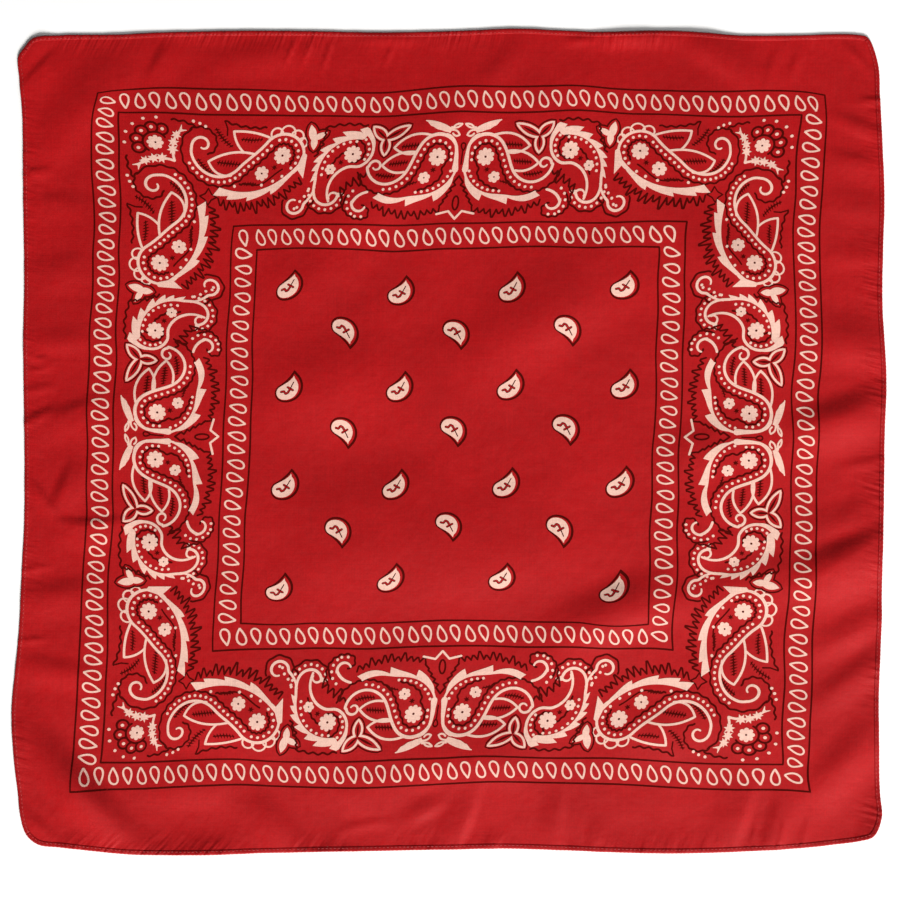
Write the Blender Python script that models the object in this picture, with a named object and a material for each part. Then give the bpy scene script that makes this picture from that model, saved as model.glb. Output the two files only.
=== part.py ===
"""A nearly square cotton bandana spread flat: one panel and the narrow rolled hem along each of its four edges.

The cloth lies face up. Low soft folds lift it from the surface here and there; the rest of its underside is flat.
"""

import math
from bisect import bisect_right
from collections import namedtuple

import bmesh
import bpy
from mathutils import Vector

MM = 0.001

# Driving sizes, in millimetres.
PANEL_WALL = 1.2
HEM_WIDTH = 3.2
HEM_HEIGHT = 1.9
SEAM_GAP = 0.3
REST_LIFT = 0.7        # a fold lower than this leaves the underside flat

# How finely the solids follow the folds.
PANEL_COLUMNS = 58
PANEL_ROWS = 54
EDGE_CROWDING = 0.5    # 0 spaces the columns and rows evenly, 1 crowds them strongly towards the corners
LOOP_STEPS = 12        # points between two stations of the outline

# The outline, in millimetres from the middle of the cloth, counter-clockwise. Each row of an edge is one station:
# along is its place along the edge, and edge is how far out the cloth reaches there.
Station = namedtuple("Station", "along edge")
RIGHT_EDGE = (
    Station(-228.0, 280.4), Station(-190.0, 279.6), Station(-155.0, 279.9), Station(-116.0, 281.5),
    Station(-77.0, 281.6), Station(-40.0, 282.9), Station(14.0, 283.6), Station(40.0, 284.6),
    Station(66.0, 283.2), Station(92.0, 282.0), Station(120.0, 282.3), Station(160.0, 283.3),
    Station(196.0, 281.9), Station(226.0, 280.4),
)
TOP_EDGE = (
    Station(254.0, 265.2), Station(228.0, 264.5), Station(189.0, 264.4), Station(163.0, 266.4),
    Station(137.0, 267.5), Station(98.0, 266.7), Station(72.0, 267.7), Station(46.0, 268.8),
    Station(7.0, 267.4), Station(-32.0, 266.4), Station(-58.0, 266.5), Station(-97.0, 267.3),
    Station(-136.0, 267.4), Station(-188.0, 266.3), Station(-214.0, 265.0), Station(-253.0, 264.5),
)
LEFT_EDGE = (
    Station(235.0, -279.5), Station(209.0, -277.5), Station(158.0, -277.0), Station(105.0, -276.3),
    Station(66.0, -277.0), Station(1.0, -276.2), Station(-51.0, -276.3), Station(-77.0, -277.6),
    Station(-116.0, -279.4), Station(-142.0, -281.5), Station(-168.0, -284.2), Station(-181.0, -284.6),
    Station(-207.0, -283.1), Station(-230.0, -280.4),
)
BOTTOM_EDGE = (
    Station(-253.0, -264.0), Station(-227.0, -266.8), Station(-201.0, -268.6), Station(-162.0, -268.8),
    Station(-110.0, -267.3), Station(-58.0, -266.4), Station(7.0, -265.2), Station(33.0, -264.7),
    Station(72.0, -265.7), Station(111.0, -267.3), Station(150.0, -267.9), Station(189.0, -266.7),
    Station(228.0, -264.5), Station(250.0, -262.2),
)

# The four blunt corners: where one edge ends, the tip where two hems meet, and where the next edge starts.
Corner = namedtuple("Corner", "end_x end_y tip_x tip_y start_x start_y")
BOTTOM_RIGHT = Corner(268.0, -259.6, 276.0, -256.6, 281.4, -244.0)
TOP_RIGHT = Corner(279.2, 245.6, 272.4, 262.9, 266.2, 264.7)
TOP_LEFT = Corner(-270.6, 262.6, -276.3, 256.5, -280.3, 250.2)
BOTTOM_LEFT = Corner(-279.0, -243.2, -275.3, -255.3, -267.5, -262.0)

# The largest folds. Each is a soft ridge centred at x, y; its crest runs at turn degrees from the X axis, length and
# width are its half sizes along and across the crest, and bend curves it, in millimetres of sideways drift at its ends.
Fold = namedtuple("Fold", "x y turn length width height bend")
FOLDS = (
    # Broad swells of the middle
    Fold(-12, 79, 0, 190, 112, 1.7, 0),
    Fold(7, -42, 2, 135, 38, 1.5, -6),
    Fold(-88, -198, -4, 92, 34, 1.4, 5),
    Fold(120, -205, 8, 70, 30, 0.9, 0),
    # Long diagonal folds
    Fold(-42, 170, 46, 140, 20, 1.5, 4),
    Fold(140, 134, -40, 105, 24, 1.5, -6),
    Fold(59, 77, 29, 92, 24, 1.6, 8),
    Fold(164, -98, 22, 140, 25, 2.8, 7),
    Fold(180, 237, -30, 84, 17, 1.5, -4),
    # Folds that run to the corners
    Fold(-221, 203, 39, 62, 17, 1.8, 0),
    Fold(-276, 252, -45, 40, 26, 1.5, 0),
    Fold(-250, -220, -49, 64, 17, 2.0, 3),
    Fold(-126, -168, -55, 60, 17, 1.4, 0),
    Fold(248, -221, 41, 62, 17, 1.9, 0),
    # Waves along the right edge
    Fold(258, 184, 4, 46, 15, 1.5, 0),
    Fold(258, 117, -3, 44, 14, 1.4, 0),
    Fold(256, 62, 2, 50, 13, 1.5, 0),
    Fold(232, 9, 5, 76, 18, 2.2, 0),
    Fold(258, -104, 34, 44, 12, 1.5, 0),
    Fold(258, -161, 36, 42, 12, 1.4, 0),
    # Waves along the left edge
    Fold(-257, 163, -3, 42, 13, 1.5, 0),
    Fold(-256, 112, 4, 44, 13, 1.4, 0),
    Fold(-246, -6, 8, 48, 15, 1.5, 0),
    Fold(-238, -62, -8, 52, 11, 1.6, 5),
    Fold(-262, -138, -20, 40, 13, 1.3, 0),
    # Waves along the top and bottom edges
    Fold(-133, 249, 13, 66, 14, 1.3, 0),
    Fold(118, 260, 2, 58, 14, 1.4, 0),
    Fold(20, 262, -6, 44, 13, 1.2, 0),
    Fold(-168, -228, -25, 52, 13, 1.3, 0),
    Fold(-74, -233, -15, 62, 13, 1.3, 0),
    Fold(2, -246, 80, 40, 12, 1.3, 0),
    Fold(65, -246, 82, 40, 13, 1.4, 0),
    Fold(184, -246, 74, 42, 12, 1.3, 0),
)


def clear_scene():
    """Remove every object, mesh and material that is already there."""
    for item in list(bpy.data.objects):
        bpy.data.objects.remove(item, do_unlink=True)
    for mesh in list(bpy.data.meshes):
        bpy.data.meshes.remove(mesh)
    for material in list(bpy.data.materials):
        bpy.data.materials.remove(material)


def fabric_material(name, colour, roughness):
    """A plain dyed-cotton material."""
    material = bpy.data.materials.new(name)
    material.use_nodes = True
    shader = material.node_tree.nodes["Principled BSDF"]
    shader.inputs["Base Color"].default_value = (*colour, 1.0)
    shader.inputs["Roughness"].default_value = roughness
    shader.inputs["Metallic"].default_value = 0.0
    material.diffuse_color = (*colour, 1.0)
    return material


# ---------------------------------------------------------------------------------------------- the outline

def edge_points(stations, upright):
    """The points of one edge's stations; an upright edge runs along Y."""
    if upright:
        return [Vector((row.edge, row.along)) for row in stations]
    return [Vector((row.along, row.edge)) for row in stations]


def corner_points(corner):
    """The three points that round one corner off."""
    return [
        Vector((corner.end_x, corner.end_y)),
        Vector((corner.tip_x, corner.tip_y)),
        Vector((corner.start_x, corner.start_y)),
    ]


def control_loop():
    """All stations of the outline in order, and where the four corner tips are among them."""
    points = []
    tips = []
    runs = (
        (RIGHT_EDGE, True, TOP_RIGHT),
        (TOP_EDGE, False, TOP_LEFT),
        (LEFT_EDGE, True, BOTTOM_LEFT),
        (BOTTOM_EDGE, False, BOTTOM_RIGHT),
    )
    for stations, upright, corner in runs:
        points += edge_points(stations, upright)
        tips.append(len(points) + 1)
        points += corner_points(corner)
    return points, tips


def spline_point(before, start, end, after, share):
    """A point of the centripetal Catmull-Rom curve between start and end."""
    knot_1 = (start - before).length ** 0.5
    knot_2 = knot_1 + (end - start).length ** 0.5
    knot_3 = knot_2 + (after - end).length ** 0.5
    t = knot_1 + (knot_2 - knot_1) * share
    a_1 = before.lerp(start, t / knot_1)
    a_2 = start.lerp(end, (t - knot_1) / (knot_2 - knot_1))
    a_3 = end.lerp(after, (t - knot_2) / (knot_3 - knot_2))
    b_1 = a_1.lerp(a_2, t / knot_2)
    b_2 = a_2.lerp(a_3, (t - knot_1) / (knot_3 - knot_1))
    return b_1.lerp(b_2, (t - knot_1) / (knot_2 - knot_1))


def smooth_loop(points):
    """A closed smooth curve through the points, with LOOP_STEPS steps between two of them."""
    count = len(points)
    loop = []
    for index in range(count):
        four = [points[(index + shift) % count] for shift in (-1, 0, 1, 2)]
        loop += [spline_point(*four, step / LOOP_STEPS) for step in range(LOOP_STEPS)]
    return loop


def centred(loop):
    """The loop moved so that its bounding box is centred on the origin."""
    middle = Vector((
        0.5 * (min(p.x for p in loop) + max(p.x for p in loop)),
        0.5 * (min(p.y for p in loop) + max(p.y for p in loop)),
    ))
    return [point - middle for point in loop]


def inset(loop, distance):
    """The closed loop moved inwards by a distance."""
    count = len(loop)
    moved = []
    for index, point in enumerate(loop):
        along = (loop[(index + 1) % count] - loop[index - 1]).normalized()
        inward = Vector((-along.y, along.x))
        moved.append(point + inward * distance)
    return moved


def crowded(share):
    """A share from 0 to 1 spaced more closely towards both ends."""
    wave = 0.5 - 0.5 * math.cos(math.pi * share)
    return share + EDGE_CROWDING * (wave - share)


def lengths_along(run):
    """The length of a run of points up to each of them."""
    reached = [0.0]
    for start, end in zip(run, run[1:]):
        reached.append(reached[-1] + (end - start).length)
    return reached


def edge_shares(run, count, end_gap=0.0):
    """Places along a run, each as an index and a share of the step after it."""
    reached = lengths_along(run)
    places = []
    for step in range(count + 1):
        length = end_gap + (reached[-1] - 2 * end_gap) * crowded(step / count)
        index = min(bisect_right(reached, length) - 1, len(run) - 2)
        places.append((index, (length - reached[index]) / (reached[index + 1] - reached[index])))
    return places


def run_of_edge(loop, tips, edge):
    """The part of the loop between the tips at the two ends of an edge: 0 top, 1 left, 2 bottom, 3 right."""
    start = tips[edge] * LOOP_STEPS
    end = tips[(edge + 1) % 4] * LOOP_STEPS
    if end < start:
        end += len(loop)
    return [loop[index % len(loop)] for index in range(start, end + 1)]


def at_places(run, places):
    """The points of a run at its places."""
    return [run[index].lerp(run[index + 1], share) for index, share in places]


# ---------------------------------------------------------------------------------------------- the folds

def bump(t):
    """A soft hump: 1 in its middle, 0 from one half size on."""
    return max(0.0, 1.0 - t * t) ** 3


def lift(x, y):
    """How far the folds lift the cloth at a point, in millimetres."""
    height = 0.0
    for fold in FOLDS:
        turn = math.radians(fold.turn)
        right = x - fold.x
        up = y - fold.y
        along = (right * math.cos(turn) + up * math.sin(turn)) / fold.length
        across = up * math.cos(turn) - right * math.sin(turn) - fold.bend * along * along
        height += fold.height * bump(along) * bump(across / fold.width)
    return height


def underside(point):
    """The height of the cloth's underside, which is flat but below the folds."""
    return max(0.0, lift(point.x, point.y) - REST_LIFT)


# ---------------------------------------------------------------------------------------------- the solids

def finish(name, bm, material, parent):
    """Put a closed mesh into the scene as a named object."""
    bmesh.ops.recalc_face_normals(bm, faces=bm.faces[:])
    mesh = bpy.data.meshes.new(name)
    bm.to_mesh(mesh)
    bm.free()
    mesh.materials.append(material)
    item = bpy.data.objects.new(name, mesh)
    item.parent = parent
    bpy.context.scene.collection.objects.link(item)
    return item


def blend_edges(top, left, bottom, right, column, row):
    """The point of the panel at a column and row, from the points of its four edges."""
    across = column / PANEL_COLUMNS
    up = row / PANEL_ROWS
    low, high = bottom[column], top[column]
    near, far = left[row], right[row]
    corners = (
        bottom[0].lerp(bottom[-1], across),
        top[0].lerp(top[-1], across),
    )
    return low.lerp(high, up) + near.lerp(far, across) - corners[0].lerp(corners[1], up)


def panel_edges(loop, tips):
    """The panel's four edges, each from left to right or from bottom to top."""
    inner = inset(loop, HEM_WIDTH + SEAM_GAP)
    edges = []
    for edge, count in enumerate((PANEL_COLUMNS, PANEL_ROWS, PANEL_COLUMNS, PANEL_ROWS)):
        places = edge_shares(run_of_edge(loop, tips, edge), count)
        edges.append(at_places(run_of_edge(inner, tips, edge), places))
    top, left, bottom, right = edges
    return top[::-1], left[::-1], bottom, right


def build_panel(loop, tips, material, parent):
    """The cloth itself: a wall whose face and underside both follow the folds."""
    edges = panel_edges(loop, tips)
    bm = bmesh.new()
    bmesh.ops.create_grid(bm, x_segments=PANEL_COLUMNS, y_segments=PANEL_ROWS, size=0.5)
    for vert in bm.verts:
        column = round((vert.co.x + 0.5) * PANEL_COLUMNS)
        row = round((vert.co.y + 0.5) * PANEL_ROWS)
        place = blend_edges(*edges, column, row)
        vert.co = Vector((place.x, place.y, underside(place))) * MM
    lifted = bmesh.ops.extrude_face_region(bm, geom=bm.faces[:])["geom"]
    for vert in (item for item in lifted if isinstance(item, bmesh.types.BMVert)):
        vert.co.z = (PANEL_WALL + lift(vert.co.x / MM, vert.co.y / MM)) * MM
    return finish("panel", bm, material, parent)


def hem_section(outer, inner):
    """The rolled hem cut across at one place: a flat foot and a round top, between its outer and inner points."""
    outline = ((1.0, 0.0), (0.0, 0.25), (0.0, 0.72), (0.28, 1.0), (0.8, 0.94), (1.0, 0.66))
    foot = outer.lerp(inner, 0.12)
    section = [Vector((foot.x, foot.y, underside(foot)))]
    for inwards, height in outline:
        place = outer.lerp(inner, inwards)
        low = underside(place)
        high = HEM_HEIGHT + lift(place.x, place.y)
        section.append(Vector((place.x, place.y, low + (high - low) * height)))
    return [section[1], section[0], *section[2:]]


def build_hem(name, loop, tips, edge, count, material, parent):
    """One rolled hem, lofted through its sections from corner tip to corner tip."""
    places = edge_shares(run_of_edge(loop, tips, edge), count, end_gap=0.5 * SEAM_GAP)
    outer = at_places(run_of_edge(loop, tips, edge), places)
    inner = at_places(run_of_edge(inset(loop, HEM_WIDTH), tips, edge), places)
    bm = bmesh.new()
    rings = []
    for out_point, in_point in zip(outer, inner):
        rings.append([bm.verts.new(point * MM) for point in hem_section(out_point, in_point)])
    for ring, following in zip(rings, rings[1:]):
        for side in range(len(ring)):
            after = (side + 1) % len(ring)
            bm.faces.new((ring[side], ring[after], following[after], following[side]))
    bm.faces.new(rings[0])
    bm.faces.new(rings[-1][::-1])
    return finish(name, bm, material, parent)


def build():
    """Build the panel and its four hems under one empty at the middle of the cloth's underside."""
    clear_scene()
    bandana = bpy.data.objects.new("bandana", None)
    bpy.context.scene.collection.objects.link(bandana)
    cloth = fabric_material("dyed_cotton", (0.42, 0.014, 0.017), 0.72)
    rolled = fabric_material("rolled_cotton", (0.36, 0.012, 0.015), 0.76)
    points, tips = control_loop()
    loop = centred(smooth_loop(points))
    build_panel(loop, tips, cloth, bandana)
    hems = (
        ("hem_top", PANEL_COLUMNS),
        ("hem_left", PANEL_ROWS),
        ("hem_bottom", PANEL_COLUMNS),
        ("hem_right", PANEL_ROWS),
    )
    for edge, (name, count) in enumerate(hems):
        build_hem(name, loop, tips, edge, count, rolled, bandana)


build()
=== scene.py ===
"""A red cotton bandana spread flat: cloth, rolled hems, stitching, the two printed inks, and its stage."""

import cmath
import math
from bisect import bisect_right
from collections import namedtuple

import bmesh
import bpy
import numpy as np
from mathutils import Matrix, Vector
from mathutils.bvhtree import BVHTree
from mathutils.geometry import delaunay_2d_cdt, tessellate_polygon
from mathutils.kdtree import KDTree


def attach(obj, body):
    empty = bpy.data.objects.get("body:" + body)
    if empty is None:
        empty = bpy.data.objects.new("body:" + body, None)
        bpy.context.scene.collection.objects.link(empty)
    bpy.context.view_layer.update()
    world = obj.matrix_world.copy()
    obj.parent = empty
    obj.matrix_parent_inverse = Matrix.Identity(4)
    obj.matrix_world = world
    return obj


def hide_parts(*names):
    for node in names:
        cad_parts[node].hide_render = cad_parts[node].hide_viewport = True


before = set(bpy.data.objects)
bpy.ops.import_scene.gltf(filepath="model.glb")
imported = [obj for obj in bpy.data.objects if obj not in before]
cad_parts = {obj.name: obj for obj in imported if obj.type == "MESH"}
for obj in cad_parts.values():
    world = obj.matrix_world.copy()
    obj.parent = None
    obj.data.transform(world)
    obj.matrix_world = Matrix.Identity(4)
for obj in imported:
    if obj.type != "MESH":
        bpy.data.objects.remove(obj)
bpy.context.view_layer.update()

bl_info = {
    "name": "Printed Bandana",
    "version": (1, 0, 0),
    "blender": (4, 5, 0),
    "location": "3D View > Sidebar > Bandana",
    "description": "Builds a printed cotton bandana lying flat on a pale floor",
    "category": "Object",
}

MM = 0.001
SIDES = ("top", "left", "bottom", "right")
LOOP_STEPS = 12        # points between two stations of the outline
HEM_SPAN = 3.2         # the rolled hem's width, in millimetres
TUCK = 0.7             # how far the panel's edge reaches into the hem, in millimetres
STITCH_LINE = 0.70     # where the stitches run, as a share of the hem's width
STITCH_SEAT = 0.80     # how high their middles lie, as a share of the hem's height
STITCH_ENDS = 6.0      # how much of a hem goes without a stitch, in millimetres
EDGE_WOBBLE = 0.022    # how far the hem's outer edge wavers, as a share of its width
ROLL_SWELL = 0.06      # how much the roll swells and thins along the hem, as a share of its height
STITCH_PINCH = 0.055   # how far the stitches press it down, in the same measure
ROLL_WAVES = ((3.7, 0.0), (2.3, 1.3), (9.1, 0.4))  # the waves of that swelling: their lengths and starts
THREAD_FLATNESS = 0.75 # how high a stitch's thread is, as a share of its width
WELD = 1e-7            # points nearer than this become one, in metres
FLAT_ENOUGH = 0.5      # how upright the normal of a face has to be for the folds to shade it
HEM_PAINTED_SHADE = 0.87       # how much of the cloth's brightness the hems have: painted shade, the rolled hems a darker copy of the cloth
THREADS = 2300.0       # threads of the weave in a metre
THREAD_DEPTH = 0.00012  # how deep the weave and its slubs are, in metres
RUMPLE_DEPTH = 0.0005  # the same for the small rumples
PUCKER_DEPTH = 0.0016  # the same for the puckers beside the hems
PUCKERS = 225.0        # how closely the puckers stand, in a metre
PUCKER_FADE = 40.0     # how quickly they change as they run inwards
PUCKER_X = (0.258, 0.281)  # where the puckers of the side hems start and where they are full, in metres
PUCKER_Y = (0.246, 0.266)  # the same for the top and bottom hems

# The outline, in millimetres from the middle of the cloth, counter-clockwise. Each pair of an edge is one
# station: its place along the edge, and how far out the cloth reaches there.
RIGHT_EDGE = (
    (-228, 280.4), (-190, 279.6), (-155, 279.9), (-116, 281.5), (-77, 281.6), (-40, 282.9), (14, 283.6),
    (40, 284.6), (66, 283.2), (92, 282), (120, 282.3), (160, 283.3), (196, 281.9), (226, 280.4),
)
TOP_EDGE = (
    (254, 265.2), (228, 264.5), (189, 264.4), (163, 266.4), (137, 267.5), (98, 266.7), (72, 267.7),
    (46, 268.8), (7, 267.4), (-32, 266.4), (-58, 266.5), (-97, 267.3), (-136, 267.4), (-188, 266.3),
    (-214, 265), (-253, 264.5),
)
LEFT_EDGE = (
    (235, -279.5), (209, -277.5), (158, -277), (105, -276.3), (66, -277), (1, -276.2), (-51, -276.3),
    (-77, -277.6), (-116, -279.4), (-142, -281.5), (-168, -284.2), (-181, -284.6), (-207, -283.1),
    (-230, -280.4),
)
BOTTOM_EDGE = (
    (-253, -264), (-227, -266.8), (-201, -268.6), (-162, -268.8), (-110, -267.3), (-58, -266.4),
    (7, -265.2), (33, -264.7), (72, -265.7), (111, -267.3), (150, -267.9), (189, -266.7), (228, -264.5),
    (250, -262.2),
)

# The four blunt corners: where one edge ends, the tip where two hems meet, and where the next edge starts.
BOTTOM_RIGHT = ((268, -259.6), (276, -256.6), (281.4, -244))
TOP_RIGHT = ((279.2, 245.6), (272.4, 262.9), (266.2, 264.7))
TOP_LEFT = ((-270.6, 262.6), (-276.3, 256.5), (-280.3, 250.2))
BOTTOM_LEFT = ((-279, -243.2), (-275.3, -255.3), (-267.5, -262))

# The folds, in millimetres. Each is a soft ridge, and its row gives the x and y of its middle, how many
# degrees its crest is turned from the X axis, its half length, how far it falls away above and below its
# crest, its height, and how far its crest bends sideways at its ends.
FOLDS = (
    # Broad swells of the middle
    (-4, -64, -1, 165, 68.3, 61.8, 3.38, 0),
    (-82, 41, 9, 82, 39, 65.1, 2.21, 0),
    (7, -210, 4, 92, 45.6, 26, 1.3, 0),
    (-130, -188, -8, 67, 32.5, 29.3, 1.17, 0),
    (134, -187, 6, 54, 26, 29.3, 1.17, 0),
    (-183, -66, 21, 51, 28.6, 35.1, 1.17, 0),
    (167, -7, 19, 57, 29.3, 28.6, 1.17, 0),
    # Long diagonal folds
    (-38, 166, 47, 172, 39, 39, 2.04, 0),
    (-83, 111, 44, 41, 26, 32.5, 0.48, 0),
    (34, 244, 47, 33, 13, 14.3, 0.72, 0),
    (54, 75, 27, 105, 49.5, 37.7, 2.88, 2.6),
    (109, -110, 22, 82, 26, 29.9, 3.48, 0),
    (196, -92, 17, 130, 20.8, 35.1, 1.8, 0),
    (186, 112, -39, 102, 40.3, 24.7, 1.92, 0),
    (175, 250, -32, 53, 24.7, 16.3, 1.8, 0),
    (-183, 43, 42, 59, 19.5, 18.2, 1.08, 0),
    # Folds that run to the corners
    (-237, 217, 49, 83, 29.9, 24.7, 1.79, 0),
    (-267, 241, 46, 30, 5.9, 18.2, 0.78, 0),
    (-270, 258, 44, 25, 7.8, 11.7, 0.78, 0),
    (-239, -229, -48, 88, 19.5, 23.4, 5.38, 9.1),
    (-267, -250, -45, 28, 7.8, 10.4, 1.01, 0),
    (258, -208, 46, 59, 20.8, 26, 2.58, 0),
    (282, -256, 57, 49, 22.1, 13, 2.02, 0),
    # Waves along the right edge
    (268, 204, -23, 37, 9.1, 9.1, 1.12, 0),
    (276, 222, 6, 23, 4.6, 5.9, 0.56, 0),
    (267, 182, -13, 36, 8.5, 16.9, 1.01, 0),
    (266, 152, -8, 38, 16.9, 14.3, 0.78, 0),
    (266, 120, -1, 37, 15.6, 13, 0.9, 0),
    (265, 63, -10, 42, 26, 24.7, 2.35, -2.6),
    (255, 15, 18, 57, 20.8, 29.9, 3.92, 2.6),
    (272, -14, 10, 28, 6.5, 7.8, 0.56, 0),
    (261, -52, 22, 45, 19.5, 11.7, 1.57, 0),
    (260, -76, 32, 62, 22.1, 40.3, 4.48, 0),
    (261, -124, 29, 48, 16.9, 15.6, 1.68, 0),
    (263, -154, 36, 50, 14.3, 18.2, 1.57, 0),
    # Waves along the left edge
    (-269, 175, 13, 19, 3.9, 7.8, 0.56, 0),
    (-256, 155, -4, 37, 11.7, 18.2, 0.78, 0),
    (-254, 111, 11, 39, 18.2, 23.4, 1.12, 0),
    (-255, 65, 5, 40, 15.6, 13, 1.01, 0),
    (-266, 54, -19, 18, 3.9, 5.9, 0.56, 2.6),
    (-267, 47, 11, 17, 3.9, 5.2, 0.39, 0),
    (-268, 34, 10, 19, 5.2, 6.5, 0.56, 0),
    (-266, 17, 28, 24, 5.9, 6.5, 0.78, 0),
    (-250, 17, 20, 42, 10.4, 24.7, 1.34, 2),
    (-249, -29, 67, 27, 9.1, 20.8, 1.68, 0),
    (-264, -37, -55, 26, 5.9, 10.4, 1.34, 0),
    (-233, -54, 1, 37, 7.2, 23.4, 1.46, 3.9),
    (-271, -83, 8, 18, 3.9, 4.6, 0.45, 0),
    (-254, -100, 5, 42, 15.6, 22.1, 1.57, 0),
    (-272, -129, 5, 19, 3.9, 5.2, 0.5, 0),
    (-255, -149, -9, 43, 13, 18.2, 1.46, 0),
    # Waves along the top edge
    (-187, 248, 63, 24, 8.5, 19.5, 1.28, 0),
    (-124, 250, 7, 52, 15.6, 18.2, 1.28, 0),
    (-103, 254, 70, 16, 3.3, 3.3, 0.58, 0),
    (-92, 254, 69, 16, 3.3, 3.3, 0.58, 0),
    (-79, 252, 72, 18, 3.3, 3.3, 0.58, 0),
    (-39, 252, 70, 12, 3.3, 3.9, 0.51, 0),
    (-40, 262, -1, 40, 5.2, 7.8, 0.72, 0),
    (120, 264, 1, 42, 6.5, 13, 1.44, 0),
    (85, 261, 4, 19, 5.2, 6.5, 0.64, 0),
    (210, 245, 79, 17, 5.2, 7.8, 0.56, 0),
    (225, 245, 76, 17, 5.2, 7.8, 0.56, 0),
    (266, 249, -50, 21, 5.2, 5.2, 0.72, 0),
    # Waves along the bottom edge
    (-167, -225, 2, 48, 29.9, 22.1, 1.15, 0),
    (-159, -273, 0, 54, 26, 9.1, 1.72, 0),
    (-111, -251, -48, 41, 16.9, 23.4, 1.95, 0),
    (-55, -229, -7, 46, 26, 23.4, 1.15, 0),
    (-68, -273, 3, 46, 14.3, 6.5, 1.03, 0),
    (-54, -249, 10, 37, 5.9, 7.8, 0.46, -6.5),
    (-16, -240, 30, 30, 11.7, 9.1, 0.8, 0),
    (10, -247, 70, 40, 22.1, 8.5, 1.38, 2.6),
    (28, -263, 63, 15, 10.4, 6.5, 0.69, 0),
    (70, -249, 90, 35, 16.9, 7.8, 1.15, -4.6),
    (95, -257, 84, 25, 9.1, 15.6, 0.69, 0),
    (189, -246, 71, 39, 26, 9.8, 1.61, 2),
    (213, -249, 74, 38, 11.7, 19.5, 1.61, 2.6),
    (198, -258, 87, 18, 3.3, 5.2, 0.52, 0),
    (215, -257, 77, 21, 3.3, 5.9, 0.57, 0),
    (230, -257, 76, 19, 3.3, 5.9, 0.52, 0),
)

# The faint unevenness between the folds: how long each wave is, which way it runs in degrees, where it
# starts, and how high it is, in millimetres.
SWELLS = (
    (118, 68, 0.4, 0.2), (83, -41, 2.1, 0.16), (61, 97, 4, 0.13), (47, 23, 1.2, 0.08),
    (36, -72, 5.1, 0.06), (27, 51, 3.3, 0.035),
)

# The rolled hem cut across: how far inwards from its outer edge and how high, both as shares, and how much
# of the stitches' pull it takes.
HEM_OUTLINE = (
    (0.10, 0.00, 0.0), (0.00, 0.24, 0.0), (0.01, 0.56, 0.0), (0.08, 0.82, 0.2),
    (0.22, 0.96, 0.5), (0.42, 1.00, 0.8), (0.58, 0.97, 1.0), (0.70, 0.92, 1.2),
    (0.82, 0.86, 0.8), (0.93, 0.78, 0.4), (1.00, 0.68, 0.0), (0.97, 0.00, 0.0),
)

HALF_WIDTH = 281.0      # about how far the cloth reaches from its middle
HALF_HEIGHT = 266.0
SETTLE = 60.0           # how far in from the edges the swells come up to their full height
ROUNDING = 0.01         # how softly the folds run out into the flat cloth, in square millimetres
SLOPE_STEP = 0.2        # the step over which the cloth's slope is measured

# The stage, in metres and watts: how far the floor reaches from its middle, the width of the camera's
# sensor in millimetres, the strength of the even light all round, and each soft lamp's name, place, size,
# power and colour.
FLOOR_REACH = 3.0
SENSOR = 36.0
SKY = 0.18
LAMPS = (
    ("key", (1.83, -7.72, 3.57), 2.5, 1860.0, (1.0, 0.985, 0.96)),
    ("side", (1.70, -0.30, 1.00), 1.0, 12.0, (1.0, 1.0, 1.0)),
)

# The print, in millimetres about its own middle.
HALF = 232.5           # from the middle of the print to its outermost line
INNER_HALF = 145.4     # the same for the inner frame
BAND = 16.4            # the width of both bands of teardrops
LINE = 1.15            # the width of the dark frame lines
WEIGHT = {"cream": 0.87, "dark": 0.93, "red": 0.93}     # how much of its drawn width a line of each ink keeps
START_GAP = 0.2        # how much wider than the others the space after a corner teardrop is
FIELD_X = 71.6         # between two small paisleys of a row
FIELD_Y = 66.4         # between two rows that point the same way
FIELD_SHIFT = 6.8      # how far the upside-down rows lie above the middle between their neighbours
SHAPE_GAP = 0.02       # corners of shapes nearer than this become one, in millimetres
POINT_GAP = 0.001      # the same for the points of the simplified drawing
TINY = 1e-9            # as good as nothing, in millimetres
SMOOTHING = 0.035      # how far a drawn edge may be simplified
CELL = 2.6             # the most that a filled place goes without a point, so that it can follow the folds
STEP = 0.9             # the most between two points of a drawn line
ROUND_END = 0.5        # a line wider than this gets a round end
WAVER_DEPTH = 1.35     # how much of its stated depth a wavering line takes up
WAVER_WIDTH = 1.3      # its width
TIP_SPAN = 0.3         # a point whose neighbours lie nearer together than this is a tip
BARB_FOOT = 0.65       # half the width of a barb's foot
BARB_LEAN = 0.7        # how far a barb's tip leans along the vein
TOOTH_TIP = 0.11       # half the width of a tooth's blunt tip, as a share of the pitch
NUDGE = 1.0001         # keeps rounding from adding a step to a row
CARD_GAP = 0.01        # how far each painted shape lies above the one before it
CARDS_TOP = 1000.0     # a height above them all
LAY_EASE = 40.0        # how freely the print may miss the places that steer its lay
CORNER_REACH = 3.0     # teardrops nearer than this to a line's end don't steer it

# The teardrops of the outer band and of the inner one, for the top, left, bottom and right: how many lie
# between two corners, which way the first one's tip points (1 outwards, -1 inwards), and how the one in the
# corner is set.
Drops = namedtuple("Drops", "count first corner_flip corner_turn")
DROPS = (Drops(48, -1, True, 90), Drops(49, 1, False, -90), Drops(48, -1, True, 90), Drops(47, 1, False, -90))
INNER_DROPS = (
    Drops(29, 1, False, 180), Drops(27, -1, False, 90), Drops(29, -1, True, 90), Drops(27, 1, False, -90),
)

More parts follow.
